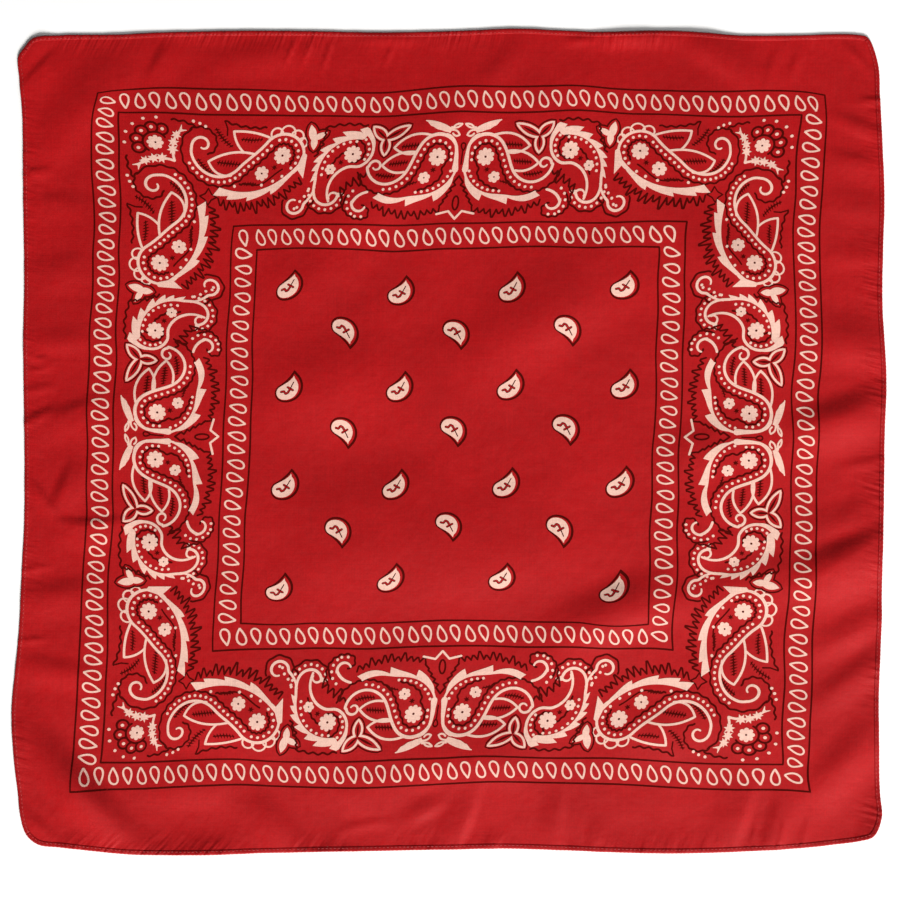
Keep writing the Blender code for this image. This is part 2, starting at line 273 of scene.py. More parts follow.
# How the print lies on the cloth, for each of its two bands: its half size in the print, the corners of its
# outer and of its inner dark line on the cloth, and its four sides, all clockwise from the top left. The
# bows of a side are how far its two lines stray to the left of the straight one, at even places between
# their corners. Its drops are some of its teardrops: the one in the corner, then the middle between two
# neighbours at every sixth place, as drop_number counts them.
Band = namedtuple("Band", "half outer inner sides")
Side = namedtuple("Side", "outer_bows inner_bows drops")
SIDE_TURNS = (0, -90, 180, 90)
LAY = (
    Band(
        HALF,
        ((-228.1, 226.3), (244.4, 225.3), (234.9, -227.6), (-245.5, -227.1)),
        ((-215, 213.9), (229.6, 212.5), (217.8, -209.9), (-226.3, -208.6)),
        (
            Side((4, 3, 1.3, 1.1, 5.4, 5.4, 4.3, 2.5, 2.9), (-1.1, -1.5, -2, 1.5, 1.6, 0.3, -1.2), (
                (-221.5, 222.2), (-196.2, 222.3), (-136.4, 220.8), (-80.4, 219.8), (-25.3, 220.5),
                (29.4, 222.6), (84.1, 223.9), (138.9, 220.7), (194.3, 219.6), (223.1, 220.5),
            )),
            Side((0.3, -1.5, 0.5, 0.9, 0.5, 0.3, 0.4, -0.6, -1.1), (-2.6, -2.1, -0.3, 0.3, 0.4, 0, -0.8), (
                (237.1, 220.1), (236.1, 195.7), (232, 140.3), (233.6, 87.8), (231, 33.6), (230.6, -22.1),
                (229.6, -77.5), (226.6, -132.4), (225.7, -186.5), (225.2, -204.5),
            )),
            Side((-1.3, -3.1, -5.2, -6.3, -4.9, -2.4, -3, -4, -1.6),
                 (-0.6, -3.8, -4.2, -3.6, -1.2, -1.1, -1.7), (
                (222.2, -217.8), (195.7, -217.9), (136.5, -215.9), (80.9, -213.8), (24.9, -212.6),
                (-30.3, -215.3), (-85.7, -216.5), (-140, -214.3), (-195.8, -216.7), (-223.3, -217.3),
            )),
            Side((-0.9, -1.6, -2.1, -3.1, -1.9, -0.8, -1.2, -1.1, 2.6),
                 (-1.7, -1.5, -3.8, -2.6, -3.2, -3.6, -2.9), (
                (-237.3, -217.6), (-234.7, -192), (-230.8, -137.8), (-230.1, -84.8), (-227.5, -31.6),
                (-227.2, 21.1), (-225.5, 73.7), (-223.5, 124.7), (-224.2, 176.8), (-223.8, 211.5),
            )),
        ),
    ),
    Band(
        INNER_HALF,
        ((-139.9, 140), (154.9, 143), (145.8, -135.5), (-153.6, -136.1)),
        ((-124.6, 124.8), (137.2, 126.6), (129.8, -118.6), (-135.2, -118)),
        (
            Side((0.7, -0.4, 0.5, 1, -0.1), (0.4, -1.8, -0.2, 0.9, -0.2), (
                (-133.8, 132.8), (-110.6, 132.9), (-55.6, 132.9), (-0.4, 134.1), (54.6, 135.1),
                (109.7, 134.6), (128.1, 135.1),
            )),
            Side((-0.1, 0, -0.2, 0.3, 1.1), (0.1, 0.1, -0.2, -0.2, -0.2), (
                (143.4, 135.3), (144.2, 108.2), (142.6, 52.7), (140.4, -2.1), (139.1, -57.2),
                (137.2, -111.9),
            )),
            Side((-1.4, -2.2, -2.9, -1.1, -1.2), (-1.2, -1.8, -2.3, -0.3, -0.2), (
                (135.7, -125.7), (111.5, -126.7), (55.3, -125.1), (-0.3, -124.5), (-55.7, -126.1),
                (-111, -126.2), (-130.2, -126.5),
            )),
            Side((-0.2, 0, 0.1, 0.2, 0.1), (-0.2, -0.3, -0.9, -0.6, 0.4), (
                (-145.7, -127.2), (-144, -100.9), (-141.2, -46.1), (-138.2, 8.5), (-136.5, 63),
                (-133.8, 116.6),
            )),
        ),
    ),
)
FIELD_CORNERS = ((-105.4, 100.5), (112.0, 100.5), (104.8, -98.6), (-112.4, -98.0))

# Where the middles of the large blossoms lie, in the order that the spots go round: those of the corner's
# paisley, the upright one and the one by the side's middle, and the rosettes.
CORNER_BLOSSOMS = (
    (-108.3, 186.1), (124.3, 189.3), (-195.2, -110.4), (-188.1, 116.4),
    (110.5, -180.2), (-124.6, -182.0), (198.5, 116.4), (191.0, -110.4),
)
UPRIGHT_BLOSSOMS = (
    (-62.5, 187.0), (79.1, 189.9), (-194.6, -65.5), (-191.0, 72.4),
    (64.1, -181.4), (-79.1, -182.4), (199.8, 72.4), (196.5, -66.2),
)
INNER_BLOSSOMS = (
    (-7.5, 185.0), (23.8, 185.3), (-191.0, -11.5), (-189.7, 19.1),
    (8.7, -175.7), (-23.1, -176.8), (195.2, 18.4), (194.9, -12.2),
)
ROSETTES = ((-190.7, 194.8), (-202.7, -189.2), (193.0, -190.5), (203.4, 192.5))


# ----------------------------------------------------------------------------------------- settings

class BandanaCloth(bpy.types.PropertyGroup):
    """The cloth, its hems and the thread."""

    thickness: bpy.props.FloatProperty(
        name="Cloth Thickness", description="Thickness of the woven cloth",
        default=0.00045, min=0.0002, max=0.0012, unit="LENGTH",
    )
    clearance: bpy.props.FloatProperty(
        name="Clearance", description="How far the underside lies above the surface it rests on",
        default=0.00015, min=0.0, max=0.0005, unit="LENGTH",
    )
    columns: bpy.props.IntProperty(
        name="Columns", description="Grid cells across the cloth", default=214, min=40, max=230,
    )
    rows: bpy.props.IntProperty(
        name="Rows", description="Grid cells up the cloth", default=202, min=40, max=220,
    )
    hem_height: bpy.props.FloatProperty(
        name="Hem Height", description="Height of the rolled hem above the underside",
        default=0.00085, min=0.0006, max=0.0019, unit="LENGTH",
    )
    hem_step: bpy.props.FloatProperty(
        name="Hem Step", description="Distance between two sections of the hem",
        default=0.00065, min=0.0003, max=0.004, unit="LENGTH",
    )
    stitch_pitch: bpy.props.FloatProperty(
        name="Stitch Pitch", description="Distance between two stitches of the hem",
        default=0.0026, min=0.0015, max=0.005, unit="LENGTH",
    )
    stitch_length: bpy.props.FloatProperty(
        name="Stitch Length", description="Visible length of one stitch",
        default=0.0019, min=0.001, max=0.004, unit="LENGTH",
    )
    thread_width: bpy.props.FloatProperty(
        name="Thread Width", description="Width of the sewing thread",
        default=0.00042, min=0.0002, max=0.001, unit="LENGTH",
    )
    red: bpy.props.FloatVectorProperty(
        name="Cloth Red", description="Colour of the dyed cloth",
        default=(0.365, 0.0027, 0.0043), min=0.0, max=1.0, size=3, subtype="COLOR",
    )
    thread_red: bpy.props.FloatVectorProperty(
        name="Thread Red", description="Colour of the sewing thread",
        default=(0.42, 0.03, 0.03), min=0.0, max=1.0, size=3, subtype="COLOR",
    )


class BandanaPrint(bpy.types.PropertyGroup):
    """The two inks."""

    cream: bpy.props.FloatVectorProperty(
        name="Cream", description="Colour of the pale ink",
        default=(0.73, 0.462, 0.378), min=0.0, max=1.0, size=3, subtype="COLOR",
    )
    dark: bpy.props.FloatVectorProperty(
        name="Dark", description="Colour of the dark ink",
        default=(0.06, 0.0022, 0.0012), min=0.0, max=1.0, size=3, subtype="COLOR",
    )
    cream_rise: bpy.props.FloatProperty(
        name="Cream Rise", description="How far the pale ink stands on the cloth's face",
        default=0.00010, min=0.00002, max=0.0003, unit="LENGTH",
    )
    dark_rise: bpy.props.FloatProperty(
        name="Dark Rise", description="How far the dark ink stands on the cloth's face",
        default=0.00007, min=0.00002, max=0.0003, unit="LENGTH",
    )
    soak: bpy.props.FloatProperty(
        name="Soak", description="How far the inks come out on the cloth's back",
        default=0.00003, min=0.0, max=0.0001, unit="LENGTH",
    )
    back: bpy.props.FloatProperty(
        name="Back Strength", description="How strongly the print shows on the back",
        default=0.45, min=0.0, max=1.0, subtype="FACTOR",
    )


class BandanaStage(bpy.types.PropertyGroup):
    """The floor, the lamps and the camera."""

    lens: bpy.props.FloatProperty(
        name="Lens", description="Focal length of the camera in millimetres",
        default=85.0, min=20.0, max=200.0,
    )
    view_width: bpy.props.FloatProperty(
        name="View Width", description="Width of the floor that the picture takes in",
        default=0.5857, min=0.1, max=2.0, unit="LENGTH",
    )
    centre_x: bpy.props.FloatProperty(
        name="Centre X", description="The middle of the picture along X",
        default=0.00065, min=-0.2, max=0.2, unit="LENGTH",
    )
    centre_y: bpy.props.FloatProperty(
        name="Centre Y", description="The middle of the picture along Y",
        default=-0.0053, min=-0.2, max=0.2, unit="LENGTH",
    )
    floor: bpy.props.FloatVectorProperty(
        name="Floor", description="Colour of the floor",
        default=(0.88, 0.88, 0.88), min=0.0, max=1.0, size=3, subtype="COLOR",
    )


# -------------------------------------------------------------------------------------- the outline

def spline_point(before, start, end, after, share):
    """A point of the centripetal Catmull-Rom curve between start and end."""
    knot_1 = (start - before).length ** 0.5
    knot_2 = knot_1 + (end - start).length ** 0.5
    knot_3 = knot_2 + (after - end).length ** 0.5
    t = knot_1 + (knot_2 - knot_1) * share
    a_1 = before.lerp(start, t / knot_1)
    a_2 = start.lerp(end, (t - knot_1) / (knot_2 - knot_1))
    a_3 = end.lerp(after, (t - knot_2) / (knot_3 - knot_2))
    b_1 = a_1.lerp(a_2, t / knot_2)
    b_2 = a_2.lerp(a_3, (t - knot_1) / (knot_3 - knot_1))
    return b_1.lerp(b_2, (t - knot_1) / (knot_2 - knot_1))


def smooth_loop(points):
    """A closed smooth curve through the points, centred on the origin."""
    count = len(points)
    loop = []
    for index in range(count):
        four = [points[(index + shift) % count] for shift in (-1, 0, 1, 2)]
        loop += [spline_point(*four, step / LOOP_STEPS) for step in range(LOOP_STEPS)]
    middle = Vector((
        0.5 * (min(p.x for p in loop) + max(p.x for p in loop)),
        0.5 * (min(p.y for p in loop) + max(p.y for p in loop)),
    ))
    return [point - middle for point in loop]


def inset(loop, distance):
    """The closed loop moved inwards by a distance."""
    count = len(loop)
    moved = []
    for index, point in enumerate(loop):
        along = (loop[(index + 1) % count] - loop[index - 1]).normalized()
        moved.append(point + Vector((-along.y, along.x)) * distance)
    return moved


def lengths_along(run):
    """The length of a run of points up to each of them."""
    reached = [0.0]
    for start, end in zip(run, run[1:]):
        reached.append(reached[-1] + (end - start).length)
    return reached


def even_places(run, count):
    """Evenly spaced places along a run, each as an index and a share of the step after it."""
    reached = lengths_along(run)
    places = []
    for step in range(count + 1):
        length = reached[-1] * step / count
        index = min(bisect_right(reached, length) - 1, len(run) - 2)
        places.append((index, (length - reached[index]) / (reached[index + 1] - reached[index])))
    return places


def run_of_edge(loop, tips, edge):
    """The part of the loop between the tips at the two ends of an edge: 0 top, 1 left, 2 bottom, 3 right."""
    start = tips[edge] * LOOP_STEPS
    end = tips[(edge + 1) % 4] * LOOP_STEPS
    if end < start:
        end += len(loop)
    return [loop[index % len(loop)] for index in range(start, end + 1)]


def at_places(run, places):
    """The points of a run at its places, as an array."""
    return np.array([run[index].lerp(run[index + 1], share) for index, share in places])


def outline():
    """The cloth's outline, and where the four corner tips are among its stations."""
    points = []
    tips = []
    for stations, upright, corner in (
        (RIGHT_EDGE, True, TOP_RIGHT), (TOP_EDGE, False, TOP_LEFT),
        (LEFT_EDGE, True, BOTTOM_LEFT), (BOTTOM_EDGE, False, BOTTOM_RIGHT),
    ):
        points += [Vector((out, along) if upright else (along, out)) for along, out in stations]
        tips.append(len(points) + 1)
        points += [Vector(place) for place in corner]
    return smooth_loop(points), tips


# ---------------------------------------------------------------------------------------- the folds

def ridge(x, y, middle_x, middle_y, degrees, length, above, below, height, bend):
    """The height of one fold at points x, y; the rest is the fold's row."""
    turn = math.radians(degrees)
    right = x - middle_x
    up = y - middle_y
    along = (right * math.cos(turn) + up * math.sin(turn)) / length
    across = up * math.cos(turn) - right * math.sin(turn) - bend * along * along
    across = across / np.where(across > 0.0, above, below)
    for place in (along, across):
        height = height * np.clip(1.0 - place * place, 0.0, 1.0) ** 3
    return height


def lift(x, y):
    """How far the folds lift the cloth at points, all in millimetres; never below the surface."""
    height = np.zeros_like(x)
    for fold in FOLDS:
        height += ridge(x, y, *fold)
    from_edge = np.clip(np.minimum(HALF_WIDTH - np.abs(x), HALF_HEIGHT - np.abs(y)) / SETTLE, 0.0, 1.0)
    calm = from_edge * from_edge * (3.0 - 2.0 * from_edge)
    for wave, degrees, start, tall in SWELLS:
        turn = math.radians(degrees)
        phase = math.tau / wave * (x * math.cos(turn) + y * math.sin(turn)) + start
        height += calm * tall * (1.0 + np.sin(phase))
    return 0.5 * (height + np.sqrt(height * height + ROUNDING))


def face_height(x, y, cloth):
    """The height of the cloth's face at points, in millimetres."""
    return (cloth.clearance + cloth.thickness) / MM + lift(x, y)


# ------------------------------------------------------------------------------------------ drawing

# The print is drawn flat, in millimetres. Each point is one complex number: x to the right and y upwards.

# A turn about a centre. Its radius goes from start_radius to end_radius, faster at the end where growth is
# above 1; the angles are in degrees, and a negative sweep turns clockwise.
Ring = namedtuple("Ring", "x y start_radius end_radius start_angle sweep growth", defaults=(1,))


def polar(length, degrees):
    """A step of a length at an angle in degrees."""
    return cmath.rect(length, math.radians(degrees))


def ring_points(ring):
    """The points of one turn."""
    longest = max(ring.start_radius, ring.end_radius) * math.radians(abs(ring.sweep))
    count = max(3, math.ceil(longest / STEP))
    points = []
    for index in range(count + 1):
        share = index / count
        radius = ring.start_radius + (ring.end_radius - ring.start_radius) * share ** ring.growth
        points.append(complex(ring.x, ring.y) + polar(radius, ring.start_angle + ring.sweep * share))
    return points


def curve(start, start_heading, end, end_heading, reach=0.38):
    """A smooth line between two points, leaving and arriving on the given headings."""
    handle = reach * abs(end - start)
    first = start + start_heading * handle
    second = end - end_heading * handle
    count = max(3, math.ceil(abs(end - start) / STEP))
    points = []
    for index in range(count + 1):
        t = index / count
        s = 1.0 - t
        points.append(s ** 3 * start + 3 * s * s * t * first + 3 * s * t * t * second + t ** 3 * end)
    return points


def heading(first, second):
    """The unit heading from one point to another."""
    return (second - first) / abs(second - first)


def chain(*rings):
    """One line that turns about each ring in order and runs smoothly from one to the next."""
    line = ring_points(rings[0])
    for ring in rings[1:]:
        onward = ring_points(ring)
        link = curve(line[-1], heading(line[-2], line[-1]), onward[0], heading(onward[0], onward[1]))
        line += link[1:-1] + onward
    return line


def bow(start, end, sag):
    """A bent line between two points, sag millimetres to the left of the straight one at its middle."""
    span = end - start
    peak = 0.5 * (start + end) + 1j * span / abs(span) * sag * 2.0
    count = max(3, math.ceil(abs(span) / STEP))
    shares = [index / count for index in range(count + 1)]
    return [(1 - t) ** 2 * start + 2 * t * (1 - t) * peak + t * t * end for t in shares]


def line_lengths(points):
    """The length of a line up to each of its points."""
    reached = [0.0]
    for first, second in zip(points, points[1:]):
        reached.append(reached[-1] + abs(second - first))
    return reached


def cut(points, start, end, step=STEP):
    """The part of a line between two shares of its length, with even steps."""
    reached = line_lengths(points)
    total = reached[-1]
    count = max(2, math.ceil(total * abs(end - start) / step))
    part = []
    index = 0
    for number in range(count + 1):
        length = total * (start + (end - start) * number / count)
        while index < len(points) - 2 and reached[index + 1] < length:
            index += 1
        while index > 0 and reached[index] > length:
            index -= 1
        span = reached[index + 1] - reached[index]
        share = (length - reached[index]) / span if span else 0.0
        part.append(points[index] + (points[index + 1] - points[index]) * share)
    return part


def normals(points):
    """The unit normals to the left of a line."""
    found = []
    for index in range(len(points)):
        before = points[max(0, index - 1)]
        after = points[min(len(points) - 1, index + 1)]
        found.append(1j * (after - before) / (abs(after - before) or 1.0))
    return found


def beside(points, gap):
    """A line beside another, to its left; gap is one distance or one for each point."""
    gaps = gap if isinstance(gap, (list, tuple)) else [gap] * len(points)
    return [point + normal * size for point, normal, size in zip(points, normals(points), gaps)]


def petal(base, tip, width):
    """The outline of a petal between two points, counter-clockwise."""
    return [*bow(base, tip, -0.5 * width), *bow(tip, base, -0.5 * width)[1:-1]]


def grown(outline, reach):
    """A counter-clockwise outline moved outwards."""
    count = len(outline)
    ring = []
    for index, point in enumerate(outline):
        along = outline[(index + 1) % count] - outline[index - 1]
        if abs(along) < TIP_SPAN:
            along = 1j * (2 * point - outline[index - 1] - outline[(index + 1) % count])
        ring.append(point - 1j * along / abs(along) * reach)
    return ring


def spread(values, count):
    """A few values spread evenly over a count of places, and blended between them."""
    spans = len(values) - 1
    placed = []
    for index in range(count):
        where = spans * index / max(1, count - 1)
        low = min(int(where), spans - 1)
        share = where - low
        share = share * share * (3 - 2 * share)
        placed.append(values[low] + (values[low + 1] - values[low]) * share)
    return placed


class Print:
    """A flat drawing in two inks. Each shape is painted over the ones before it."""

    def __init__(self):
        self.shapes = []

    def fill(self, ink, outline):
        """A filled outline."""
        self.shapes.append((ink, list(outline)))

    def stroke(self, ink, line, *widths):
        """A line drawn with a width that changes along it, with round ends where it is wide."""
        sizes = [WEIGHT[ink] * size for size in spread(widths if len(widths) > 1 else widths * 2, len(line))]
        left = beside(line, [0.5 * size for size in sizes])
        right = beside(line, [-0.5 * size for size in sizes])
        for index in range(len(line) - 1):
            self.shapes.append((ink, [left[index], right[index], right[index + 1], left[index + 1]]))
        for end in (0, -1):
            if sizes[end] > ROUND_END:
                self.dot(ink, line[end], 0.5 * sizes[end], sides=8)

    def path(self, ink, points, width):
        """A line of one width with sharp bends."""
        width *= WEIGHT[ink]
        for first, second in zip(points, points[1:]):
            across = 0.5j * width * heading(first, second)
            self.fill(ink, [first + across, first - across, second - across, second + across])
        for point in points:
            self.dot(ink, point, 0.5 * width, sides=7)

    def dot(self, ink, place, radius, sides=9):
        """A round dot."""
        self.fill(ink, [place + cmath.rect(radius, math.tau * side / sides) for side in range(sides)])

    def dots(self, line, radius, pitch):
        """Cream dots at an even pitch along a line."""
        total = line_lengths(line)[-1]
        count = max(1, round(total / pitch))
        for place in cut(line, 0.0, 1.0, total / count * NUDGE):
            self.dot("cream", place, radius)

    def waver(self, line, gap, depth=0.35, wave=5.0):
        """A dark line beside another that wavers a little, as a hand-cut edge does."""
        reached = line_lengths(line)
        gaps = [gap + WAVER_DEPTH * depth * math.sin(math.tau * length / wave) for length in reached]
        self.stroke("dark", beside(line, gaps), WAVER_WIDTH)

    def flower(self, place, radius, lobes, turn=0.0):
        """A flat blossom with round lobes and a dark eye."""
        sides = lobes * 6
        outline = []
        for side in range(sides):
            angle = math.tau * side / sides
            lobe = abs(math.cos(0.5 * lobes * angle)) ** 0.7
            outline.append(place + cmath.rect(radius * (0.76 + 0.24 * lobe), angle + turn))
        self.fill("cream", outline)
        self.dot("dark", place, max(0.5, 0.14 * radius), sides=7)

    def spikes(self, ink, place, radius, hollow, rays, turn):
        """A star with many rays; hollow is how far it reaches between them, as a share."""
        outline = []
        for side in range(2 * rays):
            reach = radius if side % 2 else hollow * radius
            outline.append(place + cmath.rect(reach, math.tau * side / (2 * rays) + turn))
        self.fill(ink, outline)

    def star(self, place, radius):
        """A small spiky dark star."""
        self.spikes("dark", place, radius, 0.42, 6, 0.3)

    def leaf(self, tip, first, second, swells=(0.22,), line=1.7, vein=True):
        """An outlined leaf: a side from its tip to first, on the right, and one to second, on the left.

        The swells are shares of its length: one for both sides, or one for each.
        """
        span = abs(0.5 * (first + second) - tip)
        for end, swell in ((first, -swells[0]), (second, swells[-1])):
            self.stroke("cream", bow(tip, end, swell * span), line)
        if vein:
            middle = [tip + (0.5 * (first + second) - tip) * share for share in (0.0, 0.25, 0.5, 0.75, 1.0)]
            self.barbs(cut(middle, 0.26, 0.92), 0.34 * abs(first - second) ** 0.5 + 0.6)

    def barbs(self, line, reach, pitch=2.1, width=1.1):
        """A dark vein with pointed barbs on both sides, longest in its middle."""
        self.stroke("dark", line, width * 0.7, width, width * 0.4)
        total = line_lengths(line)[-1]
        count = max(2, round(total / pitch))
        places = cut(line, 0.06, 0.94, total * 0.88 / count * NUDGE)
        for index, (place, normal) in enumerate(zip(places, normals(places))):
            share = index / max(1, len(places) - 1)
            size = 1.25 * reach * (0.5 + 0.5 * math.sin(math.pi * (0.15 + 0.75 * share)))
            forward = -1j * normal
            for side in (1, -1):
                tip = place + normal * side * size + forward * BARB_LEAN * side
                self.fill("dark", [place - forward * BARB_FOOT, tip, place + forward * BARB_FOOT])

    def saw(self, line, side, depths, teeth, notch, lean):
        """A solid pale leaf on one side of a line: 1 left, -1 right.

        Its far edge climbs to leaning teeth and drops back. The teeth are the shares of the line where they
        end, before its own end.
        """
        count = len(line)
        sizes = spread(depths, count)
        ends = (0.0, *teeth, 1.0)
        edge = []
        for index, (place, normal, size) in enumerate(zip(line, normals(line), sizes)):
            share = index / (count - 1)
            tooth = min(bisect_right(ends, share), len(ends) - 1)
            climb = (share - ends[tooth - 1]) / (ends[tooth] - ends[tooth - 1])
            forward = -1j * normal
            tall = size * (1.0 - notch + notch * climb)
            edge.append(place + side * normal * tall + forward * lean * climb * climb)
        for index in range(count - 1):
            self.fill("cream", [line[index], line[index + 1], edge[index + 1], edge[index]])

    def teeth(self, line, side, size, pitch, lean, width=1.25):
        """A dark zigzag along a line, uneven in height, its tips leaning forwards."""
        total = line_lengths(line)[-1]
        count = max(2, round(total / pitch))
        places = cut(line, 0.0, 1.0, total / count * NUDGE)
        path = []
        for index, (place, normal) in enumerate(zip(places, normals(places))):
            share = index / max(1, len(places) - 1)
            tall = size * (0.78 + 0.3 * math.sin(2.4 * index + 1.0)) * (0.6 + 0.4 * math.sin(math.pi * share))
            forward = -1j * normal
            path.append(place)
            if index < len(places) - 1:
                tip = place + side * normal * tall + forward * pitch * (lean + 0.25)
                path += [tip - forward * TOOTH_TIP * pitch, tip + forward * TOOTH_TIP * pitch]
        self.path("dark", path, width)

    def halo(self, outlines, gap, width=1.0):
        """A dark line round a group of outlines, a little outside them."""
        for ink, reach in (("dark", gap + 0.5 * width), ("red", gap - 0.5 * width)):
            for outline in outlines:
                self.fill(ink, grown(outline, reach))

    def drop(self, place, degrees, length=10.1, width=5.8, line=1.2, lean=0.26):
        """An outlined teardrop whose tip points along an angle."""
        swing = polar(1.0, degrees - 90.0)
        sides = 26
        outline = []
        for side in range(sides):
            angle = math.tau * (side + 0.5) / sides
            across = 0.62 * width * math.sin(angle) * abs(math.sin(0.5 * angle)) ** 1.1
            along = 0.5 * length * math.cos(angle)
            outline.append(place + complex(across - lean * along, along) * swing)
        inside, outside = grown(outline[::-1], -0.5 * line), grown(outline[::-1], 0.5 * line)
        for index in range(sides):
            self.fill("cream", [inside[index - 1], outside[index - 1], outside[index], inside[index]])


# --------------------------------------------------------------------------------------- the motifs

# Half of one side of the border lies between the corner, at x = -HALF, and the side's middle, at x = 0. Its
# y is 0 on the outermost line and falls inwards. These are the middles of its large blossoms, and that of
# the rosette in the drawing of a corner.
CORNER_HEAD = -115-42.2j
UPRIGHT_HEAD = -69.6-41.6j
INNER_HEAD = -15.4-43.4j
ROSETTE = 35.8-35.8j


def corner_paisley(ink):
    """The long paisley beside the corner: a curl, a body with two leaves, and a head over a toothed leaf."""
    curl = Ring(-167, -35.8, 2.3, 7.8, -130, 320, 2.2)
    belly = Ring(-157, -37.4, 18.4, 18.2, 198, 118)
    head = Ring(-114.8, -42.2, 13.8, 13.8, 142, -196)
    centre = complex(head.x, head.y)
    body = chain(curl, belly, head)
    under = bow(-101-44j, -156.5-62.4j, 10.2)
    ink.waver(ring_points(Ring(curl.x, curl.y, 6.4, 12.6, -66, 196)), 0, 0.3, 5.4)
    ink.waver(cut(body, 0.115, 0.985), -6.3, 0.35, 5.4)
    ink.stroke("dark", curve(-114.2-51j, -1 - 0.55j, -133-60.8j, -1 + 0.1j), 1)
    ink.waver(bow(-133-60.8j, -143-60.2j, -0.4), 0, 0.3, 4)
    ink.teeth(beside(cut(under, 0.16, 0.98), 7), 1, 7.2, 3.8, 0.05)
    ink.saw(under, 1, (0.6, 3.6, 5.4, 5.6, 6, 6.2), (0.42, 0.68, 0.88), 0.5, 2.4)
    ink.fill("cream", [-105-50.4j, -99.8-57j, -98.9-42j, -101.4-40j])
    ink.barbs(bow(-170.6-45j, -160.8-54.2j, -1), 1.9)
    ink.barbs(bow(-158.6-25j, -148.4-36.6j, -1.2), 1.9)
    ink.leaf(-147.6-26.8j, -141.4-39.6j, -124.6-30.6j, (0.08,), vein=False)
    ink.barbs([-142.6-31.8j, -136-32.4j, -129-32j], 1.7)
    ink.leaf(-164-46.2j, -149-54.6j, -133.4-41.2j, (0.15,))
    ink.stroke("cream", body, 1.3, 1.9, 2, 2.1, 2, 2.1, 2.2, 1.3)
    ink.dots(beside(cut(body, 0.235, 0.66), -3.5), 1, 3.9)
    ink.dots(ring_points(Ring(centre.real, centre.imag, 10.4, 10.2, 108, -160)), 1, 4.2)
    for place in (-114-55.4j, -120-58.4j, -127.6-60.8j, -146.4-61.4j):
        ink.dot("cream", place, 1)
    for angle, size in ((110, 3.8), (82, 4.6), (56, 4), (34, 3)):
        foot = centre + polar(14.7, angle)
        ink.stroke("cream", ring_points(Ring(foot.real, foot.imag, size, size, angle - 98, 196)), 1.35)
    ink.flower(CORNER_HEAD, 5.7, 9)
    ink.flower(-128-53.4j, 4.8, 7, 0.4)
    ink.star(-119.6-49.8j, 2.1)
    ink.barbs(bow(-141.6-60.2j, -131.6-60.2j, 0.3), 1.2)
    ink.path("dark", [-151.8-29.4j, -151.6-25j, -153.2-20.4j], 1)
    ink.waver(bow(-153.2-20.4j, -127-24.4j, -1.6), 0, 0.4, 6)


def upright_paisley(ink):
    """The paisley that stands on two curled feet, its back cut in teeth."""
    foot = Ring(-66.6, -65.2, 16.8, 16.2, 204, -92)
    head = Ring(-69.2, -38.2, 12.2, 12.4, -60, 112)
    back = Ring(-67.2, -55, 24.2, 24.6, 84, 100)
    hook = Ring(-83, -66.4, 8.6, 6.8, 192, 166)
    tip = Ring(-79.6, -69.6, 3.9, 2.2, 4, 196)
    line = chain(foot, head, back, hook, tip)
    side_hook = chain(Ring(-110.4, -60, 19, 18.4, -8, -36), Ring(-104.2, -74, 6.2, 3.2, -26, -256))
    ink.waver(cut(line, 0.77, 0.915), -5.8, 0.35, 4.6)
    ink.waver(cut(side_hook, 0.2, 0.86), 3.6, 0.25, 4.6)
    inside = chain(Ring(-69.4, -39.6, 7.4, 7.6, -96, 172), Ring(-66, -55.6, 17.4, 17.6, 98, 86))
    ink.waver(inside, 0, 0.25, 4.4)
    ink.waver(bow(-88-24.4j, -62-22.6j, 1.6), 0, 0.5, 6.4)
    ink.teeth(bow(-78.6-66.6j, -58.6-52.6j, 1.6), -1, 6.4, 4.6, 0.05)
    ink.saw(cut(line, 0.24, 0.475), -1, (0.3, 0.7, 2.2, 5.6, 5.4), (0.66,), 0.45, 3.4)
    ink.saw(cut(line, 0.455, 0.70), -1, (4.8, 4.6, 4.2, 3.8, 3.2), (0.30, 0.52, 0.70, 0.86), 0.9, 1.8)
    ink.stroke("cream", side_hook, 1.4, 2, 2, 1.3)
    ink.stroke("cream", line, 1.7, 2, 2, 2, 2.2, 2.2, 2, 2, 2, 1.2)
    ink.dots(ring_points(Ring(-67.4, -52.6, 19.4, 20.8, 92, 94)), 0.95, 3.9)
    ink.dots(ring_points(Ring(-69.2, -38.6, 9.8, 9.6, -40, 106)), 0.95, 3.9)
    ink.dots(beside(cut(line, 0.74, 0.91), -3.2), 0.95, 4.1)
    ink.dots(beside(cut(side_hook, 0.10, 0.46), -3.2), 0.95, 4.2)
    ink.dot("cream", -103.6-76.4j, 0.95)
    ink.flower(UPRIGHT_HEAD, 5.7, 9, 0.2)
    ink.flower(-82.8-51.4j, 3.5, 6, 0.1)
    ink.star(-76.6-47j, 2)


def tulip(ink):
    """A bud with a round lobe, a side lobe and a pointed foot, in a dark outline."""
    middle = -95.4-31.6j
    lobes = (
        petal(middle - 2.6j, -98.2-22.4j, 5),
        petal(middle - 1.6 - 0.8j, -87.4-27.4j, 3.8),
        petal(middle + 2.6j, -95.2-38.8j, 4.4),
    )
    ink.halo(lobes, 1.9)
    for lobe in lobes:
        ink.fill("cream", lobe)
    ink.teeth(bow(-88.6-24.6j, -94-43j, 1), 1, 1.6, 3.4, 0)


